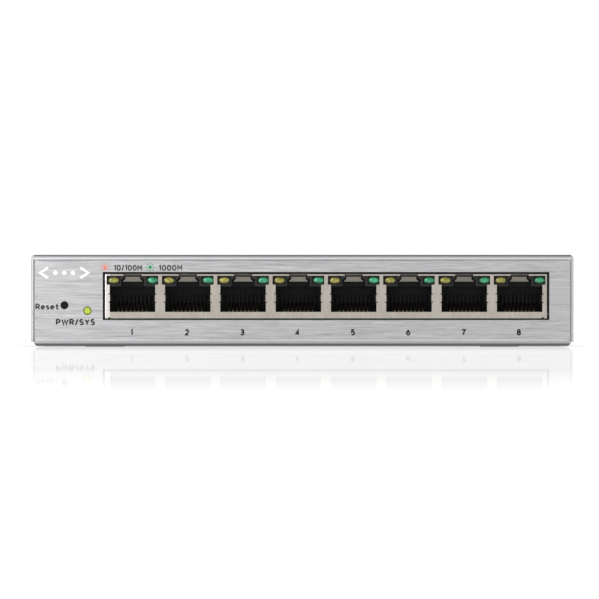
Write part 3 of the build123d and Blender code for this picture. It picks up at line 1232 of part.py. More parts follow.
INDUCTOR_SIDE = 7.3
INDUCTOR_CORNER = 1.8
INDUCTOR_HEIGHT = 3.6
INDUCTOR_RECESS_RADIUS = 2.6
INDUCTOR_RECESS_DEPTH = 0.4

with BuildPart() as power_inductors:
    with BuildSketch(level(BOARD_TOP)):
        with Locations(*INDUCTORS):
            RectangleRounded(INDUCTOR_SIDE, INDUCTOR_SIDE, INDUCTOR_CORNER)
    extrude(amount=INDUCTOR_HEIGHT)
    with BuildSketch(level(BOARD_TOP + INDUCTOR_HEIGHT)):
        with Locations(*INDUCTORS):
            Circle(INDUCTOR_RECESS_RADIUS)
    extrude(amount=-INDUCTOR_RECESS_DEPTH, mode=Mode.SUBTRACT)
pieces["power_inductors"] = power_inductors

CAN_BASE = 6.6
CAN_BASE_THICK = 0.9
CAN_BASE_CHAMFER = 0.8
CAN_RADIUS = 3.1
CAN_HEIGHT = 6.8
CAN_ROUND = 0.5

with BuildPart() as bulk_capacitors:
    # Aluminium cans on square plastic bases.
    with BuildSketch(level(BOARD_TOP)):
        with Locations(*CAPACITORS):
            Rectangle(CAN_BASE, CAN_BASE)
    extrude(amount=CAN_BASE_THICK)
    chamfer(bulk_capacitors.edges().filter_by(Axis.Z), CAN_BASE_CHAMFER)
    with BuildSketch(level(BOARD_TOP + CAN_BASE_THICK)):
        with Locations(*CAPACITORS):
            Circle(CAN_RADIUS)
    extrude(amount=CAN_HEIGHT)
    fillet(bulk_capacitors.faces().group_by(Axis.Z)[-1].edges(), CAN_ROUND)
pieces["bulk_capacitors"] = bulk_capacitors

CERAMIC_GRID = (3.0, 2.0, 9, 2)  # spacings, then counts
CERAMIC_HEIGHT = 0.8
RESISTOR_GRID = (2.6, 0, 4, 1)
RESISTOR_HEIGHT = 0.45

with BuildPart() as ceramic_capacitors:
    with BuildSketch(level(BOARD_TOP)):
        with Locations(*CERAMIC_ROWS):
            with GridLocations(*CERAMIC_GRID):
                Rectangle(*CHIP_PART)
    extrude(amount=CERAMIC_HEIGHT)
pieces["ceramic_capacitors"] = ceramic_capacitors

with BuildPart() as chip_resistors:
    with BuildSketch(level(BOARD_TOP)):
        with Locations(*RESISTOR_ROWS):
            with GridLocations(*RESISTOR_GRID):
                Rectangle(CHIP_PART[1], CHIP_PART[0])
    extrude(amount=RESISTOR_HEIGHT)
pieces["chip_resistors"] = chip_resistors

# ---- Files --------------------------------------------------------------------------------------

for name, piece in pieces.items():
    piece.part.label = name
    export_step(piece.part, f"parts/{name}.step")
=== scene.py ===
import json
import math

import bmesh
import bpy
from mathutils import Matrix, Vector


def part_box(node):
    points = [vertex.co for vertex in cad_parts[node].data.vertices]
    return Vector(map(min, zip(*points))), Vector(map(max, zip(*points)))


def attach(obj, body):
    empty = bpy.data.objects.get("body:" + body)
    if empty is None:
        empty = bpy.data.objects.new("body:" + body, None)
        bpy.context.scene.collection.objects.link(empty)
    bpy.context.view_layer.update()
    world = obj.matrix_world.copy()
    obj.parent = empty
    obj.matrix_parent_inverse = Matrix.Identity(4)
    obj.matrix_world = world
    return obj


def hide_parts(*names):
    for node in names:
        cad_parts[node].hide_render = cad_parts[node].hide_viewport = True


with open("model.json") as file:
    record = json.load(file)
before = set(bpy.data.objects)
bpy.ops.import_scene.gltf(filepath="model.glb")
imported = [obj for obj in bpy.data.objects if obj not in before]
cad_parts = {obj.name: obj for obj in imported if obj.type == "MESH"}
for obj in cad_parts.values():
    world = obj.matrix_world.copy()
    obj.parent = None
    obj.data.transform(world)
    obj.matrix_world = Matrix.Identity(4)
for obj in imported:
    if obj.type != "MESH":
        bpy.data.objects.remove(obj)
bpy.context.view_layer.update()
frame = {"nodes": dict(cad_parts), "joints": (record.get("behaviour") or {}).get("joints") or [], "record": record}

# ---- Places taken from the frame, in metres ------------------------------------------------------

MM = 0.001
panel_low, panel_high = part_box("front_panel")
shield_low, shield_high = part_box("jack_shield")
case_low, case_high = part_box("top_cover")
chassis_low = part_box("base_chassis")[0]
PORT_COUNT = 8
PORT_PITCH = 13.97 * MM
UNDERSIDE = chassis_low.z
PANEL_FACE = panel_low.y
SHIELD_HEIGHT = 11.25 * MM  # without the tabs that run down to the board
WINDOW_GAP = (0.4 * MM, 0.34 * MM)  # between the shield and the panel's cut-out, across and upright
BEND_DEPTH = (2.2 * MM, 3.0 * MM)  # behind the panel's face, where the painted light and shade on the front bends fades out
UPPER_BEND = (0.87 * MM, 0.45 * MM)  # below the top of the case
LOWER_BEND = (0.4 * MM, 0.95 * MM)  # above the underside
SILL = (1.4 * MM, 1.6 * MM)  # above the underside
CASE_MIDDLE_Z = (UNDERSIDE + case_high.z) / 2
JACK_X = (shield_low.x + shield_high.x) / 2
PORTS = [JACK_X + (port - (PORT_COUNT - 1) / 2) * PORT_PITCH for port in range(PORT_COUNT)]


# ---- Short ways to build node materials ----------------------------------------------------------


class Shader:
    """A material whose nodes are added by short calls. Lengths in its textures are in metres."""

    def __init__(self, name):
        self.material = bpy.data.materials.new(name)
        self.material.use_nodes = True
        self.tree = self.material.node_tree
        self.surface = self.tree.nodes["Principled BSDF"]

    def add(self, kind, inputs=None, **settings):
        """Adds a node. Each input is a value or another node's output."""
        made = self.tree.nodes.new("ShaderNode" + kind)
        for key, value in settings.items():
            setattr(made, key, value)
        for key, value in (inputs or {}).items():
            if isinstance(value, bpy.types.NodeSocket):
                self.tree.links.new(value, made.inputs[key])
            else:
                made.inputs[key].default_value = value
        return made

    def place(self, scale=(1, 1, 1)):
        """The point on the piece, in the frame's own axes, stretched by a scale."""
        point = self.add("TexCoord").outputs["Object"]
        return self.add("Mapping", {"Vector": point, "Scale": scale}).outputs["Vector"]

    def noise(self, scale, detail=2.0, roughness=0.5, distortion=0.0, stretch=(1, 1, 1)):
        """Noise between 0 and 1, with about `scale` features to the metre."""
        values = {
            "Vector": self.place(stretch),
            "Scale": scale,
            "Detail": detail,
            "Roughness": roughness,
            "Distortion": distortion,
        }
        return self.add("TexNoise", values).outputs["Fac"]

    def cells(self, scale, feature="F1", stretch=(1, 1, 1)):
        values = {"Vector": self.place(stretch), "Scale": scale}
        return self.add("TexVoronoi", values, feature=feature).outputs["Distance"]

    def spread(self, value, low, high, to_low=0.0, to_high=1.0):
        """Maps low..high to to_low..to_high, clamped."""
        values = {"Value": value, "From Min": low, "From Max": high, "To Min": to_low, "To Max": to_high}
        return self.add("MapRange", values).outputs["Result"]

    def math(self, operation, first, second=0.0):
        made = self.add("Math", {0: first, 1: second}, operation=operation)
        return made.outputs["Value"]

    def mix(self, factor, first, second, blend="MIX"):
        """Mixes two colours by a factor. Sockets 0, 6 and 7 are the factor and the colours."""
        made = self.add("Mix", data_type="RGBA", blend_type=blend)
        for index, value in ((0, factor), (6, first), (7, second)):
            if isinstance(value, bpy.types.NodeSocket):
                self.tree.links.new(value, made.inputs[index])
            elif index == 0:
                made.inputs[index].default_value = value
            else:
                made.inputs[index].default_value = (*value, 1.0)
        return made.outputs[2]

    def link(self, value, socket):
        self.tree.links.new(value, self.surface.inputs[socket])

    def bump(self, height, strength, distance):
        values = {"Height": height, "Strength": strength, "Distance": distance}
        self.link(self.add("Bump", values).outputs["Normal"], "Normal")

    def set(self, **values):
        """Sets sockets of the surface, written with _ for a space."""
        for key, value in values.items():
            self.surface.inputs[key.replace("_", " ")].default_value = value
        return self


def shade(colour, factor):
    return tuple(min(1.0, channel * factor) for channel in colour)


# ---- Materials -----------------------------------------------------------------------------------


def brushed_aluminium():
    """Long horizontal strokes of several lengths, with brighter and darker bands and a soft sheen."""
    made = Shader("brushed_aluminium").set(Metallic=1.0, Anisotropic=0.55)
    fine = made.noise(1.0, 3.0, 0.6, stretch=(260, 260, 5200))
    stroke = made.noise(1.0, 2.0, 0.55, 0.3, stretch=(95, 95, 2400))
    band = made.noise(1.0, 2.0, 0.5, stretch=(40, 40, 900))
    light, dark = (0.6, 0.601, 0.61), (0.362, 0.363, 0.371)
    tone = made.math("ADD", made.math("MULTIPLY", fine, 0.45), made.math("MULTIPLY", stroke, 0.4))
    tone = made.math("ADD", tone, made.math("MULTIPLY", band, 0.15))
    base = made.mix(made.spread(tone, 0.34, 0.66), dark, light)
    # Painted shadow on the plate round the jack window, and a painted highlight along the plate's lower edge.
    point = made.add("SeparateXYZ", {0: made.place()}).outputs
    outside = []
    for axis, low, high, gap in (
        ("X", shield_low.x, shield_high.x, WINDOW_GAP[0]),
        ("Z", shield_high.z - SHIELD_HEIGHT, shield_high.z, WINDOW_GAP[1]),
    ):
        offset = made.math("ABSOLUTE", made.math("SUBTRACT", point[axis], (low + high) / 2))
        outside.append(made.math("SUBTRACT", offset, (high - low) / 2 + gap))
    window_painted_shadow = made.spread(made.math("MAXIMUM", *outside), 0.06 * MM, 0.18 * MM, 0.85, 0.0)
    base = made.mix(window_painted_shadow, base, (0.02, 0.02, 0.021))
    # A painted highlight along the plate's lower edge.
    lower_edge_painted_highlight = made.spread(point["Z"], panel_low.z + 0.12 * MM, panel_low.z + 0.35 * MM, 0.7, 0.0)
    base = made.mix(lower_edge_painted_highlight, base, (0.85, 0.85, 0.86))
    made.link(base, "Base Color")
    made.link(made.spread(stroke, 0.3, 0.7, 0.27, 0.4), "Roughness")
    made.bump(fine, 0.25, 0.00002)
    return made.material


def painted_steel():
    """A satin metallic grey coat with a fine orange-peel surface and small flakes."""
    made = Shader("painted_steel").set(Metallic=0.82, Coat_Weight=0.12, Coat_Roughness=0.35)
    flake = made.cells(5200.0)
    mottle = made.noise(60.0, 3.0)
    peel = made.noise(1500.0, 2.0, 0.6)
    base = made.mix(made.spread(flake, 0.1, 0.55), (0.56, 0.565, 0.575), (0.49, 0.495, 0.505))
    base = made.mix(made.spread(mottle, 0.3, 0.7, 0.0, 0.35), base, (0.5, 0.505, 0.51))
    # Painted light and shade on the front bends: a painted highlight on the front of the bends next to the plate,
    # and painted shade at the top edge, the bottom edge and along the sill.
    point = made.add("SeparateXYZ", {0: made.place()}).outputs
    front = made.spread(point["Y"], PANEL_FACE + BEND_DEPTH[0], PANEL_FACE + BEND_DEPTH[1], 1.0, 0.0)
    upper = made.spread(point["Z"], case_high.z - UPPER_BEND[0], case_high.z - UPPER_BEND[1], 0.0, 1.0)
    lower = made.spread(point["Z"], UNDERSIDE + LOWER_BEND[0], UNDERSIDE + LOWER_BEND[1], 1.0, 0.0)
    bend_light_and_shade = made.mix(upper, (0.68, 0.685, 0.695), (0.3, 0.303, 0.31))
    bend_light_and_shade = made.mix(lower, bend_light_and_shade, (0.16, 0.162, 0.165))
    sill_shade = made.spread(point["Z"], UNDERSIDE + SILL[0], UNDERSIDE + SILL[1], 1.0, 0.0)
    bend_light_and_shade = made.mix(made.math("MULTIPLY", sill_shade, 0.25), bend_light_and_shade, (0.2, 0.202, 0.205))
    # Painted light and shade on the side strips: darker on the left, brighter on the right.
    side = made.spread(made.math("ABSOLUTE", point["X"]), panel_high.x, panel_high.x + 0.2 * MM)
    flank_light_and_shade = made.mix(made.spread(point["X"], 0.0, 0.01), (0.34, 0.344, 0.35), (0.55, 0.555, 0.565))
    base = made.mix(front, base, made.mix(made.math("MULTIPLY", side, 0.8), bend_light_and_shade, flank_light_and_shade))
    made.link(base, "Base Color")
    made.link(made.spread(peel, 0.3, 0.7, 0.36, 0.46), "Roughness")
    made.bump(peel, 0.2, 0.00004)
    return made.material


def plated_shield():
    """Matt nickel over thin sheet: a warm grey with faint rolling marks, stains and fine scratches."""
    made = Shader("shield_plate").set(Metallic=1.0)
    rolling = made.noise(1.0, 3.0, 0.6, stretch=(3200, 3200, 300))
    stain = made.noise(220.0, 4.0, 0.6)
    base = made.mix(made.spread(rolling, 0.3, 0.7), (0.44, 0.405, 0.355), (0.53, 0.495, 0.44))
    base = made.mix(made.spread(stain, 0.45, 0.7, 0.0, 0.35), base, (0.36, 0.325, 0.28))
    # A painted highlight on the left end.
    across = made.add("SeparateXYZ", {0: made.place()}).outputs["X"]
    left_end_highlight = made.spread(across, shield_low.x + 1.2 * MM, shield_low.x + 1.5 * MM, 1.0, 0.0)
    base = made.mix(made.math("MULTIPLY", left_end_highlight, 0.9), base, (0.76, 0.74, 0.71))
    # Painted shade on the folded flaps and fingers behind the face, deepening further back.
    depth = made.add("SeparateXYZ", {0: made.place()}).outputs["Y"]
    behind_face_shade = made.spread(depth, PANEL_FACE + 0.6 * MM, PANEL_FACE + 3.0 * MM, 0.0, 0.45)
    base = made.mix(behind_face_shade, base, (0.17, 0.155, 0.13))
    made.link(base, "Base Color")
    made.link(made.spread(stain, 0.3, 0.7, 0.3, 0.42), "Roughness")
    made.bump(rolling, 0.15, 0.00001)
    return made.material


def plastic(name, colour, roughness=0.45, grain=3800.0, depth=0.00002, sheen_spread=0.08):
    """Moulded plastic with a fine spark-eroded grain and slightly uneven gloss."""
    made = Shader(name).set(IOR=1.5)
    texture = made.noise(grain, 2.0, 0.6)
    patch = made.noise(150.0, 2.0)
    made.link(made.mix(made.spread(patch, 0.3, 0.7), shade(colour, 0.85), shade(colour, 1.2)), "Base Color")
    made.link(made.spread(texture, 0.3, 0.7, roughness - sheen_spread, roughness + sheen_spread), "Roughness")
    made.bump(texture, 0.3, depth)
    return made.material


def metal(name, colour, roughness=0.3, scale=900.0, variation=0.12):
    """Plain or plated metal with uneven tone and roughness."""
    made = Shader(name).set(Metallic=1.0)
    tone = made.noise(scale, 3.0, 0.6)
    dull = made.noise(scale * 0.3, 2.0)
    low, high = shade(colour, 1 - variation), shade(colour, 1 + variation)
    made.link(made.mix(made.spread(tone, 0.3, 0.7), low, high), "Base Color")
    made.link(made.spread(dull, 0.3, 0.7, roughness - 0.07, roughness + 0.07), "Roughness")
    made.bump(tone, 0.15, 0.00001)
    return made.material


def lens(name, edge, heart, glow):
    """Tinted epoxy that lets light in and glows faintly from its own colour."""
    made = Shader(name).set(IOR=1.5, Roughness=0.16, Coat_Weight=0.6, Coat_Roughness=0.05)
    made.set(Subsurface_Weight=0.35, Subsurface_Radius=(0.0008, 0.0008, 0.0005), Subsurface_Scale=1.0)
    cloud = made.noise(900.0, 2.0)
    made.link(made.mix(made.spread(cloud, 0.35, 0.65), edge, heart), "Base Color")
    made.set(Emission_Color=(*heart, 1.0), Emission_Strength=glow)
    return made.material


def rubber():
    made = Shader("foot_rubber").set(IOR=1.45, Roughness=0.8)
    grain = made.noise(2600.0, 3.0)
    made.link(made.mix(grain, (0.36, 0.36, 0.37), (0.5, 0.5, 0.51)), "Base Color")
    made.bump(grain, 0.4, 0.00004)
    return made.material


def board_laminate():
    """Green solder mask over glass weave, with copper tracks showing darker under it."""
    made = Shader("board_laminate").set(IOR=1.5, Coat_Weight=0.4, Coat_Roughness=0.15)
    weave = made.add(
        "TexBrick",
        {"Vector": made.place(), "Scale": 1000.0, "Mortar Size": 0.06, "Brick Width": 0.8, "Row Height": 0.8},
    ).outputs["Fac"]
    track = made.cells(260.0, "DISTANCE_TO_EDGE")
    base = made.mix(made.spread(track, 0.03, 0.07), (0.012, 0.085, 0.035), (0.018, 0.15, 0.06))
    base = made.mix(made.math("MULTIPLY", weave, 0.25), base, (0.03, 0.2, 0.09))
    made.link(base, "Base Color")
    made.link(made.spread(made.noise(400.0), 0.3, 0.7, 0.28, 0.4), "Roughness")
    made.bump(made.spread(track, 0.03, 0.07), 0.3, 0.00003)
    return made.material


def ink(name, colour):
    """Screen ink: a matt film with a slightly uneven tone."""
    made = Shader(name).set(IOR=1.45)
    grain = made.noise(9000.0, 2.0)
    made.link(made.mix(made.spread(grain, 0.3, 0.7), shade(colour, 0.85), shade(colour, 1.1)), "Base Color")
    made.link(made.spread(grain, 0.3, 0.7, 0.5, 0.65), "Roughness")
    return made.material


def all_materials():
    """One material for each slot of the record, and the inks."""
    made = {
        "painted_steel": painted_steel(),
        "brushed_aluminium": brushed_aluminium(),
        "shield_plate": plated_shield(),
        "foot_rubber": rubber(),
        "board_laminate": board_laminate(),
        "amber_lens": lens("amber_lens", (0.17, 0.155, 0.02), (0.38, 0.355, 0.07), 0.06),
        "green_lens": lens("green_lens", (0.01, 0.15, 0.065), (0.05, 0.40, 0.20), 0.08),
        "power_lens": lens("power_lens", (0.31, 0.38, 0.025), (0.44, 0.52, 0.055), 0.2),
    }
    plastics = {
        "adhesive_film": ((0.015, 0.015, 0.015), 0.6),
        # jack_plastic is black plastic, made darker still than its own colour as painted shade for the jack
        # cavities.
        "jack_plastic": ((0.0018, 0.0018, 0.0019), 0.6),
        "button_plastic": ((0.008, 0.008, 0.008), 0.4),
        "switch_plastic": ((0.014, 0.014, 0.015), 0.32),
        "chip_epoxy": ((0.018, 0.018, 0.019), 0.55),
        "thermal_gel": ((0.2, 0.22, 0.27), 0.7),
        "ferrite": ((0.035, 0.035, 0.038), 0.65),
        "ceramic_tan": ((0.34, 0.22, 0.11), 0.5),
        "resistor_black": ((0.01, 0.01, 0.011), 0.25),
    }
    metals = {
        "zinc_plate": ((0.62, 0.62, 0.6), 0.28),
        "brass": ((0.78, 0.55, 0.25), 0.3),
        # The contacts' gold is darkened far below its own colour: painted shade for the inside of the jack
        # cavities.
        "contact_gold": ((0.15, 0.12, 0.075), 0.45),
        "tinned_lead": ((0.66, 0.66, 0.64), 0.3),
        "spring_steel": ((0.55, 0.55, 0.53), 0.25),
        "sink_aluminium": ((0.05, 0.05, 0.055), 0.4),
        "can_aluminium": ((0.72, 0.72, 0.73), 0.25),
    }
    made.update({name: plastic(name, *values) for name, values in plastics.items()})
    made.update({name: metal(name, *values) for name, values in metals.items()})
    inks = {
        "ink_dark": (0.02, 0.02, 0.021),
        "ink_white": (0.9, 0.9, 0.9),
        "ink_orange": (0.78, 0.16, 0.07),
        "ink_green": (0.01, 0.28, 0.10),
    }
    made.update({name: ink(name, colour) for name, colour in inks.items()})
    return made


MATERIALS = all_materials()


def dress_cad_nodes():
    """Every CAD node shows the material of its slot in the record."""
    for part in frame["record"]["subparts"]:
        slots = frame["nodes"][part["node"]].material_slots
        for slot in slots:
            slot.material = MATERIALS[part["material_slot"]]


# ---- Mesh pieces ---------------------------------------------------------------------------------


def piece(name, mesh, material, body):
    """Links a finished mesh as a piece that rides on a CAD body."""
    made = bpy.data.objects.new(name, mesh)
    bpy.context.scene.collection.objects.link(made)
    mesh.materials.clear()
    mesh.materials.append(MATERIALS[material])
    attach(made, body)
    return made


def mesh_from(name, shape, smooth=False):
    """Turns a bmesh into a mesh."""
    made = bpy.data.meshes.new(name)
    bmesh.ops.recalc_face_normals(shape, faces=shape.faces)
    shape.to_mesh(made)
    shape.free()
    for polygon in made.polygons:
        polygon.use_smooth = smooth
    return made


def slab(shape, outline, place, thickness):
    """Adds a thin flat slab: an outline in its own plane, as a solid, put in place by a matrix."""
    corners = [place @ Vector((x, y, 0.0)) for x, y in outline]
    tops = [place @ Vector((x, y, thickness)) for x, y in outline]
    low = [shape.verts.new(point) for point in corners]
    high = [shape.verts.new(point) for point in tops]
    shape.faces.new(list(reversed(low)))
    shape.faces.new(high)
    count = len(outline)
    for index in range(count):
        after = (index + 1) % count
        shape.faces.new((low[index], low[after], high[after], high[index]))


def ring_outline(radius, count=40):
    step = 2 * math.pi / count
    return [(radius * math.cos(index * step), radius * math.sin(index * step)) for index in range(count)]


def bar_outline(start, end, width):
    """The four corners of a bar between two points."""
    start, end = Vector(start), Vector(end)
    along = (end - start).normalized()
    side = Vector((-along.y, along.x)) * width / 2
    return [tuple(point) for point in (start - side, end - side, end + side, start + side)]


# ---- Marks printed on the front panel ------------------------------------------------------------

INK_THICKNESS = 0.015 * MM
INK_LIFT = 0.004 * MM


def on_panel(x, z):
    """A place on the panel's face, x from the middle and z above the case's underside, in millimetres."""
    turn = Matrix.Rotation(math.radians(90), 4, "X")
    return Matrix.Translation((x * MM, PANEL_FACE - INK_LIFT, UNDERSIDE + z * MM)) @ turn


def arc(centre, radii, start, end, steps=14):
    """Points along part of an ellipse, between two angles in degrees."""
    angles = [math.radians(start + (end - start) * step / steps) for step in range(steps + 1)]
    return [(centre[0] + radii[0] * math.cos(a), centre[1] + radii[1] * math.sin(a)) for a in angles]


def loop(centre, radii):
    """A closed ellipse."""
    return arc(centre, radii, 0, 360, 24)


# The centrelines of each sign's strokes, for capitals 1 tall.
STROKES = {
    "0": [loop((0.36, 0.5), (0.36, 0.5))],
    "1": [[(0.0, 0.8), (0.27, 1.0), (0.27, 0.0)]],
    "2": [arc((0.31, 0.71), (0.28, 0.29), 165, -35) + [(0.02, 0.0), (0.62, 0.0)]],
    "3": [arc((0.29, 0.76), (0.26, 0.24), 150, -90) + arc((0.29, 0.27), (0.3, 0.27), 85, -150)],
    "4": [[(0.46, 0.0), (0.46, 1.0), (0.0, 0.25), (0.66, 0.25)]],
    "5": [[(0.56, 1.0), (0.12, 1.0), (0.08, 0.56)] + arc((0.28, 0.31), (0.31, 0.31), 115, -145)],
    "6": [loop((0.32, 0.31), (0.31, 0.31)), [(0.05, 0.44), (0.42, 1.0)]],
    "7": [[(0.0, 1.0), (0.6, 1.0), (0.2, 0.0)]],
    "8": [loop((0.32, 0.76), (0.25, 0.24)), loop((0.32, 0.27), (0.31, 0.27))],
    "/": [[(0.0, -0.1), (0.4, 1.05)]],
    "M": [[(0.0, 0.0), (0.0, 1.0), (0.42, 0.4), (0.84, 1.0), (0.84, 0.0)]],
    "P": [[(0.0, 0.0), (0.0, 1.0)] + arc((0.34, 0.71), (0.28, 0.29), 90, -90) + [(0.0, 0.42)]],
    "R": [
        [(0.0, 0.0), (0.0, 1.0)] + arc((0.34, 0.72), (0.28, 0.28), 90, -90) + [(0.0, 0.44)],
        [(0.34, 0.44), (0.64, 0.0)],
    ],
    "S": [arc((0.31, 0.75), (0.27, 0.25), 35, 265) + arc((0.3, 0.26), (0.3, 0.26), 85, -145)],
    "W": [[(0.0, 1.0), (0.28, 0.0), (0.55, 0.95), (0.82, 0.0), (1.1, 1.0)]],
    "Y": [[(0.0, 1.0), (0.35, 0.45), (0.7, 1.0)], [(0.35, 0.45), (0.35, 0.0)]],
    "e": [[(0.03, 0.35), (0.6, 0.35)] + arc((0.31, 0.34), (0.3, 0.34), 5, 315)],
    "s": [arc((0.24, 0.51), (0.2, 0.17), 35, 265) + arc((0.24, 0.17), (0.22, 0.17), 85, -145)],
    "t": [[(0.2, 1.0), (0.2, 0.12), (0.3, 0.0), (0.5, 0.0)], [(-0.08, 0.66), (0.52, 0.66)]],
}
SIGN_GAP = 0.42


def ribbon(shape, points, width, place):
    """A flat solid band that follows a line of points."""
    points = [Vector(point) for point in points]
    rails = []
    for index, point in enumerate(points):
        before = (point - points[index - 1]).normalized() if index else None
        after = (points[index + 1] - point).normalized() if index + 1 < len(points) else None
        ways = [way for way in (before, after) if way is not None]
        along = sum(ways, Vector((0, 0))).normalized()
        side = Vector((-along.y, along.x))
        square = Vector((-ways[0].y, ways[0].x))
        reach = width / 2 / max(side.dot(square), 0.5)
        rails.append((point - side * reach, point + side * reach))
    corners = []
    for rail in rails:
        row = [place @ Vector((at.x, at.y, height)) for height in (0, INK_THICKNESS) for at in rail]
        corners.append([shape.verts.new(corner) for corner in row])
    for near, far in zip(corners, corners[1:]):
        for first, second in ((0, 1), (1, 3), (3, 2), (2, 0)):
            shape.faces.new((near[first], near[second], far[second], far[first]))
    for row in (corners[0], corners[-1]):
        shape.faces.new((row[0], row[1], row[3], row[2]))


def lettering(name, text, x, z, cap_height, width, weight):
    """Prints text centred at x and z. Its capitals, total width and strokes have the given sizes."""
    strokes, cursor = [], 0.0
    for sign in text:
        lines = STROKES[sign]
        strokes += [[(cursor + point[0], point[1]) for point in line] for line in lines]
        cursor += max(point[0] for line in lines for point in line) + SIGN_GAP
    long = cursor - SIGN_GAP
    tall = (cap_height - weight) * MM
    wide = (width - weight) * MM / long
    shape = bmesh.new()
    for line in strokes:
        fitted = [((px - long / 2) * wide, (py - 0.5) * tall) for px, py in line]
        ribbon(shape, fitted, weight * MM, on_panel(x, z))
    piece(name, mesh_from(name, shape), "ink_dark", "case")


RAY_COUNT = 8
RAY_WIDTH = 0.18 * MM
RAY_START = 0.54  # share of the icon's radius
DISC_SHARE = 0.38  # share of the icon's radius
CHEVRON_STROKE = 0.7 * MM
CHEVRON_REACH = 2.2 * MM
CHEVRON_CUT = 1.35  # the stroke measured along the slope, as a multiple of its width
DOT_PITCH = 2.2 * MM
DOT_RADIUS = 0.55 * MM
NUMBER_SHIFT = -0.2  # from the middle of the port, in millimetres
NUMBER_WIDTH, ONE_WIDTH = 1.15, 0.65  # in millimetres


def sun_mark(name, x, z, radius, material):
    """An indicator icon: a small disc with eight short rays."""
    shape = bmesh.new()
    place = on_panel(x, z)
    slab(shape, ring_outline(radius * DISC_SHARE * MM), place, INK_THICKNESS)
    for ray in range(RAY_COUNT):
        angle = ray * 2 * math.pi / RAY_COUNT
        way = Vector((math.cos(angle), math.sin(angle))) * radius * MM
        slab(shape, bar_outline(way * RAY_START, way, RAY_WIDTH), place, INK_THICKNESS)
    piece(name, mesh_from(name, shape), material, "case")


def network_mark(name, x, z, width, height):
    """A generic network symbol: two chevrons with three dots between them."""
    shape = bmesh.new()
    place = on_panel(x, z)
    half = height / 2 * MM
    cut = CHEVRON_STROKE / 2 * CHEVRON_CUT
    for side in (-1, 1):
        tip = side * width / 2 * MM
        inner = tip - side * CHEVRON_REACH
        outline = [
            (inner, half),
            (inner - side * cut, half - cut * 0.9),
            (tip - side * cut * 2, 0.0),
            (inner - side * cut, -half + cut * 0.9),
            (inner, -half),
            (tip, 0.0),
        ]
        slab(shape, outline, place, INK_THICKNESS)
    for step in (-1, 0, 1):
        middle = place @ Matrix.Translation((step * DOT_PITCH, 0, 0))
        slab(shape, ring_outline(DOT_RADIUS), middle, INK_THICKNESS)
    piece(name, mesh_from(name, shape), "ink_white", "case")


def print_panel():
    """Every mark on the panel, with places and sizes in millimetres."""
    network_mark("print_network_mark", -60.2, 18.5, 13.1, 3.0)
    sun_mark("print_sun_orange", -49.9, 19.85, 1.05, "ink_orange")
    sun_mark("print_sun_green", -38.5, 19.9, 1.2, "ink_green")
    lettering("print_speed_low", "10/100M", -44.1, 19.75, 1.5, 7.2, 0.31)
    lettering("print_speed_high", "1000M", -33.35, 19.75, 1.5, 6.0, 0.31)
    lettering("print_reset", "Reset", -64.45, 9.95, 1.55, 6.0, 0.34)
    lettering("print_power", "PWR/SYS", -57.35, 6.05, 1.65, 9.9, 0.39)
    for number, port_x in enumerate(PORTS, start=1):
        wide = ONE_WIDTH if number == 1 else NUMBER_WIDTH
        x = port_x / MM + NUMBER_SHIFT
        lettering(f"print_port_{number}", str(number), x, 3.47, 1.66, wide, 0.41)


# ---- Lenses of the port lamps --------------------------------------------------------------------

LENS_HALF = Vector((1.36, 0.6, 0.76)) * MM
LENS_GAP = 0.02 * MM  # between a lens and the body behind it
LAMP_WIDTH = 3.1 * MM
LAMP_SETBACK = 0.6 * MM  # from the front of the lens to the body
LAMP_BEVEL = 0.15 * MM


def lens_dome(shape, centre, half, rings=10, around=36):
    """Half an ellipsoid that bulges towards the front, closed by a flat back."""
    rows = []
    for ring in range(rings):
        tilt = math.pi / 2 * ring / rings
        row = []
        for step in range(around):
            angle = 2 * math.pi * step / around
            x = half.x * math.cos(tilt) * math.cos(angle)
            z = half.z * math.cos(tilt) * math.sin(angle)
            row.append(shape.verts.new(centre + Vector((x, -half.y * math.sin(tilt), z))))
        rows.append(row)
    tip = shape.verts.new(centre + Vector((0, -half.y, 0)))
    for low, high in zip(rows, rows[1:]):
        for step in range(around):
            after = (step + 1) % around
            shape.faces.new((low[step], low[after], high[after], high[step]))
    for step in range(around):
        shape.faces.new((rows[-1][step], rows[-1][(step + 1) % around], tip))
    shape.faces.new(list(reversed(rows[0])))


def bevelled_block(shape, low, high, bevel):
    """A box with softened edges between two corners."""
    made = bmesh.ops.create_cube(shape, size=1.0)["verts"]
    size, middle = high - low, (high + low) / 2
    for vertex in made:
        vertex.co = middle + Vector(vertex.co[axis] * size[axis] for axis in range(3))
    edges = list({edge for vertex in made for edge in vertex.link_edges})
    bmesh.ops.bevel(shape, geom=edges, offset=bevel, segments=2, affect="EDGES")


def port_lamps(colour, lens_material):
    """Eight lamps: a black body each, with an oval domed lens in its front."""
    node = f"port_lamps_{colour}"
    low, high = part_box(node)
    first = low.x + LAMP_WIDTH / 2
    lenses, bodies = bmesh.new(), bmesh.new()
    face = low.y + LAMP_SETBACK
    middle_z = (low.z + high.z) / 2
    for port in range(PORT_COUNT):
        x = first + port * PORT_PITCH
        lens_dome(lenses, Vector((x, face - LENS_GAP, middle_z)), LENS_HALF)
        near = Vector((x - LAMP_WIDTH / 2, face, low.z))
        far = Vector((x + LAMP_WIDTH / 2, high.y, high.z))
        bevelled_block(bodies, near, far, LAMP_BEVEL)
    lens_name, body_name = f"{colour}_lenses", f"{colour}_lamp_bodies"
    dome_mesh = mesh_from(lens_name, lenses, True)
    dome = piece(lens_name, dome_mesh, lens_material, "case")
    body_mesh = mesh_from(body_name, bodies)
    body = piece(body_name, body_mesh, "jack_plastic", "case")
    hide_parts(node)
    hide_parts(node)


# ---- Marks on the rocker -------------------------------------------------------------------------

VALLEY_RISE = 2.6 * MM  # from the pivot out to the fold between the two faces
MARK_OFFSET = 3.0 * MM  # from the fold along a face
RAISED_SHARE = 0.9  # the ring's offset as a share of the stroke's
MARK_RADIUS = 1.1 * MM
MARK_INSIDE = 0.76 * MM
MARK_STROKE = 0.36 * MM

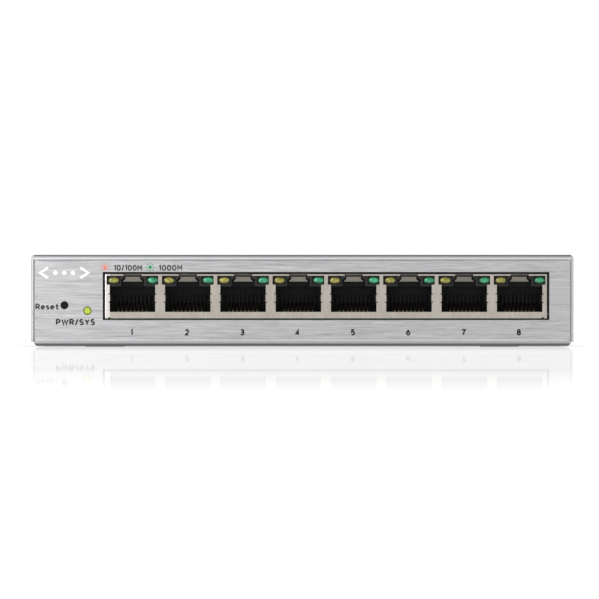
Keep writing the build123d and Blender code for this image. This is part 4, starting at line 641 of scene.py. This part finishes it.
def rocker_marks():
    """The usual stroke and ring for on and off, one on each face of the rocker."""
    joint = next(item for item in frame["joints"] if item["name"] == "rocker_tilt")
    pivot = Vector(joint["pos_m"])
    throw = math.radians(joint["range_deg"][1])
    valley = Matrix.Rotation(throw / 2, 4, "Z") @ Vector((0, VALLEY_RISE, 0))
    shape = bmesh.new()
    upright = Matrix.Rotation(math.radians(-90), 4, "X")
    flat = Matrix.Translation(pivot + valley + Vector((-MARK_OFFSET, INK_LIFT, 0))) @ upright
    slab(shape, bar_outline((0, -MARK_RADIUS), (0, MARK_RADIUS), MARK_STROKE), flat, INK_THICKNESS)
    tilt = Matrix.Rotation(throw, 4, "Z")
    raised = Matrix.Translation(pivot + valley) @ tilt
    raised = raised @ Matrix.Translation((MARK_OFFSET * RAISED_SHARE, INK_LIFT, 0)) @ upright
    outer, inner = ring_outline(MARK_RADIUS), ring_outline(MARK_INSIDE)
    count = len(outer)
    for step in range(count):
        after = (step + 1) % count
        slab(shape, [outer[step], outer[after], inner[after], inner[step]], raised, INK_THICKNESS)
    bmesh.ops.remove_doubles(shape, verts=shape.verts, dist=1e-7)
    piece("print_rocker_marks", mesh_from("print_rocker_marks", shape), "ink_white", "rocker")


# ---- Floor, light and camera ---------------------------------------------------------------------


FLOOR_GLOW = 1.09
SHADE_DEPTH, SHADE_REACH = 0.14, 0.06  # how much darker the floor is beside the case, and how far out
SIDE_STEEPNESS = 25.0
GLOSS = 0.32
GLOSS_REACH = (0.85, 1.4)  # the polish fades out between these distances from the case
FLOOR_RADIUS = 8.0
NEAR_DISTANCE = 0.03  # how far the contact shade reaches
FLOOR_LEAN = 0.0006  # how far the polished surface leans to the front, in radians


def floor_material():
    """White, polished round the case, with a soft shade on it that fades with distance."""
    made = Shader("floor")
    tree = made.tree
    point = made.add("SeparateXYZ", {0: made.place()})
    beyond = []
    for axis, middle, half, steepness in (
        ("X", 0.0, case_high.x, SIDE_STEEPNESS),
        ("Y", (case_low.y + case_high.y) / 2, (case_high.y - case_low.y) / 2, 1.0),
    ):
        offset = made.math("ABSOLUTE", made.math("SUBTRACT", point.outputs[axis], middle))
        over = made.math("MAXIMUM", made.math("SUBTRACT", offset, half), 0.0)
        beyond.append(made.math("POWER", made.math("MULTIPLY", over, steepness), 2.0))
    distance = made.math("SQRT", made.math("ADD", *beyond))
    fade = made.math("EXPONENT", made.math("MULTIPLY", distance, -1 / SHADE_REACH))
    glow = made.math("SUBTRACT", FLOOR_GLOW, made.math("MULTIPLY", fade, SHADE_DEPTH))
    nearby = made.add("AmbientOcclusion", {"Distance": NEAR_DISTANCE}, samples=8).outputs["AO"]
    glow = made.math("MULTIPLY", glow, made.spread(nearby, 0.0, 1.0, 0.7, 1.0))
    emission = made.add("Emission", {"Color": (1, 1, 1, 1), "Strength": glow})
    lean = made.add("CombineXYZ", {0: 0.0, 1: -FLOOR_LEAN, 2: 1.0}).outputs["Vector"]
    mirror = made.add("BsdfAnisotropic", {"Color": (1, 1, 1, 1), "Roughness": 0.012, "Normal": lean})
    gloss = made.spread(distance, *GLOSS_REACH, GLOSS, 0.0)
    both = made.add("MixShader", {0: gloss, 1: emission.outputs[0], 2: mirror.outputs[0]})
    output = tree.nodes["Material Output"]
    tree.links.new(both.outputs[0], output.inputs["Surface"])
    tree.nodes.remove(made.surface)
    return made.material


def build_floor():
    shape = bmesh.new()
    bmesh.ops.create_circle(shape, cap_ends=True, segments=64, radius=FLOOR_RADIUS)
    mesh = mesh_from("floor", shape)
    floor = bpy.data.objects.new("floor", mesh)
    bpy.context.scene.collection.objects.link(floor)
    mesh.materials.append(floor_material())


def build_world():
    """A white room that is brightest at eye level and dimmer overhead."""
    world = bpy.data.worlds.new("studio")
    world.use_nodes = True
    bpy.context.scene.world = world
    tree = world.node_tree
    direction = tree.nodes.new("ShaderNodeTexCoord").outputs["Generated"]
    split = tree.nodes.new("ShaderNodeSeparateXYZ")
    tree.links.new(direction, split.inputs[0])
    ramp = tree.nodes.new("ShaderNodeMapRange")
    for key, value in {"From Min": 0.1, "From Max": 0.7, "To Min": 1.02, "To Max": 0.2}.items():
        ramp.inputs[key].default_value = value
    tree.links.new(split.outputs["Z"], ramp.inputs["Value"])
    background = tree.nodes["Background"]
    background.inputs["Color"].default_value = (1, 1, 1, 1)
    tree.links.new(ramp.outputs["Result"], background.inputs["Strength"])


def area_light(name, place, target, size, power):
    data = bpy.data.lights.new(name, "AREA")
    data.shape = "RECTANGLE"
    data.size, data.size_y = size
    data.energy = power
    lamp = bpy.data.objects.new(name, data)
    bpy.context.scene.collection.objects.link(lamp)
    lamp.location = place
    lamp.rotation_euler = (Vector(target) - Vector(place)).to_track_quat("-Z", "Y").to_euler()
    lamp.visible_camera = False


def build_lights():
    middle = (0, 0, CASE_MIDDLE_Z)
    area_light("key", (-1.4, -1.5, 1.6), middle, (1.2, 1.0), 22.0)
    area_light("fill", (1.8, -0.6, 1.4), middle, (1.4, 1.0), 9.0)
    area_light("rear", (0.6, 2.0, 1.2), middle, (1.6, 0.8), 9.0)
    edge = (-0.15, PANEL_FACE - 0.13, CASE_MIDDLE_Z + 0.02)
    area_light("left_edge", edge, (case_low.x, PANEL_FACE, CASE_MIDDLE_Z), (0.06, 0.16), 0.16)


CAMERA_DISTANCE = 2.6
SENSOR = 36.0
VIEW_WIDTH = 151.3 * MM
EYE_LIFT = 11.75 * MM  # above the underside
EYE_SHIFT = -0.75 * MM  # from the middle, to the left


def build_camera():
    """Straight on to the front, from far enough away to flatten the perspective."""
    data = bpy.data.cameras.new("camera")
    data.sensor_width = SENSOR
    data.lens = SENSOR * CAMERA_DISTANCE / VIEW_WIDTH
    data.clip_end = 50.0
    camera = bpy.data.objects.new("camera", data)
    bpy.context.scene.collection.objects.link(camera)
    camera.location = (EYE_SHIFT, PANEL_FACE - CAMERA_DISTANCE, UNDERSIDE + EYE_LIFT)
    camera.rotation_euler = (math.radians(90), 0, 0)
    bpy.context.scene.camera = camera


# ---- The scene -----------------------------------------------------------------------------------

bpy.context.scene.view_settings.view_transform = "Standard"
build_camera()
dress_cad_nodes()
port_lamps("amber", "amber_lens")
port_lamps("green", "green_lens")
print_panel()
rocker_marks()
build_floor()
build_world()
build_lights()
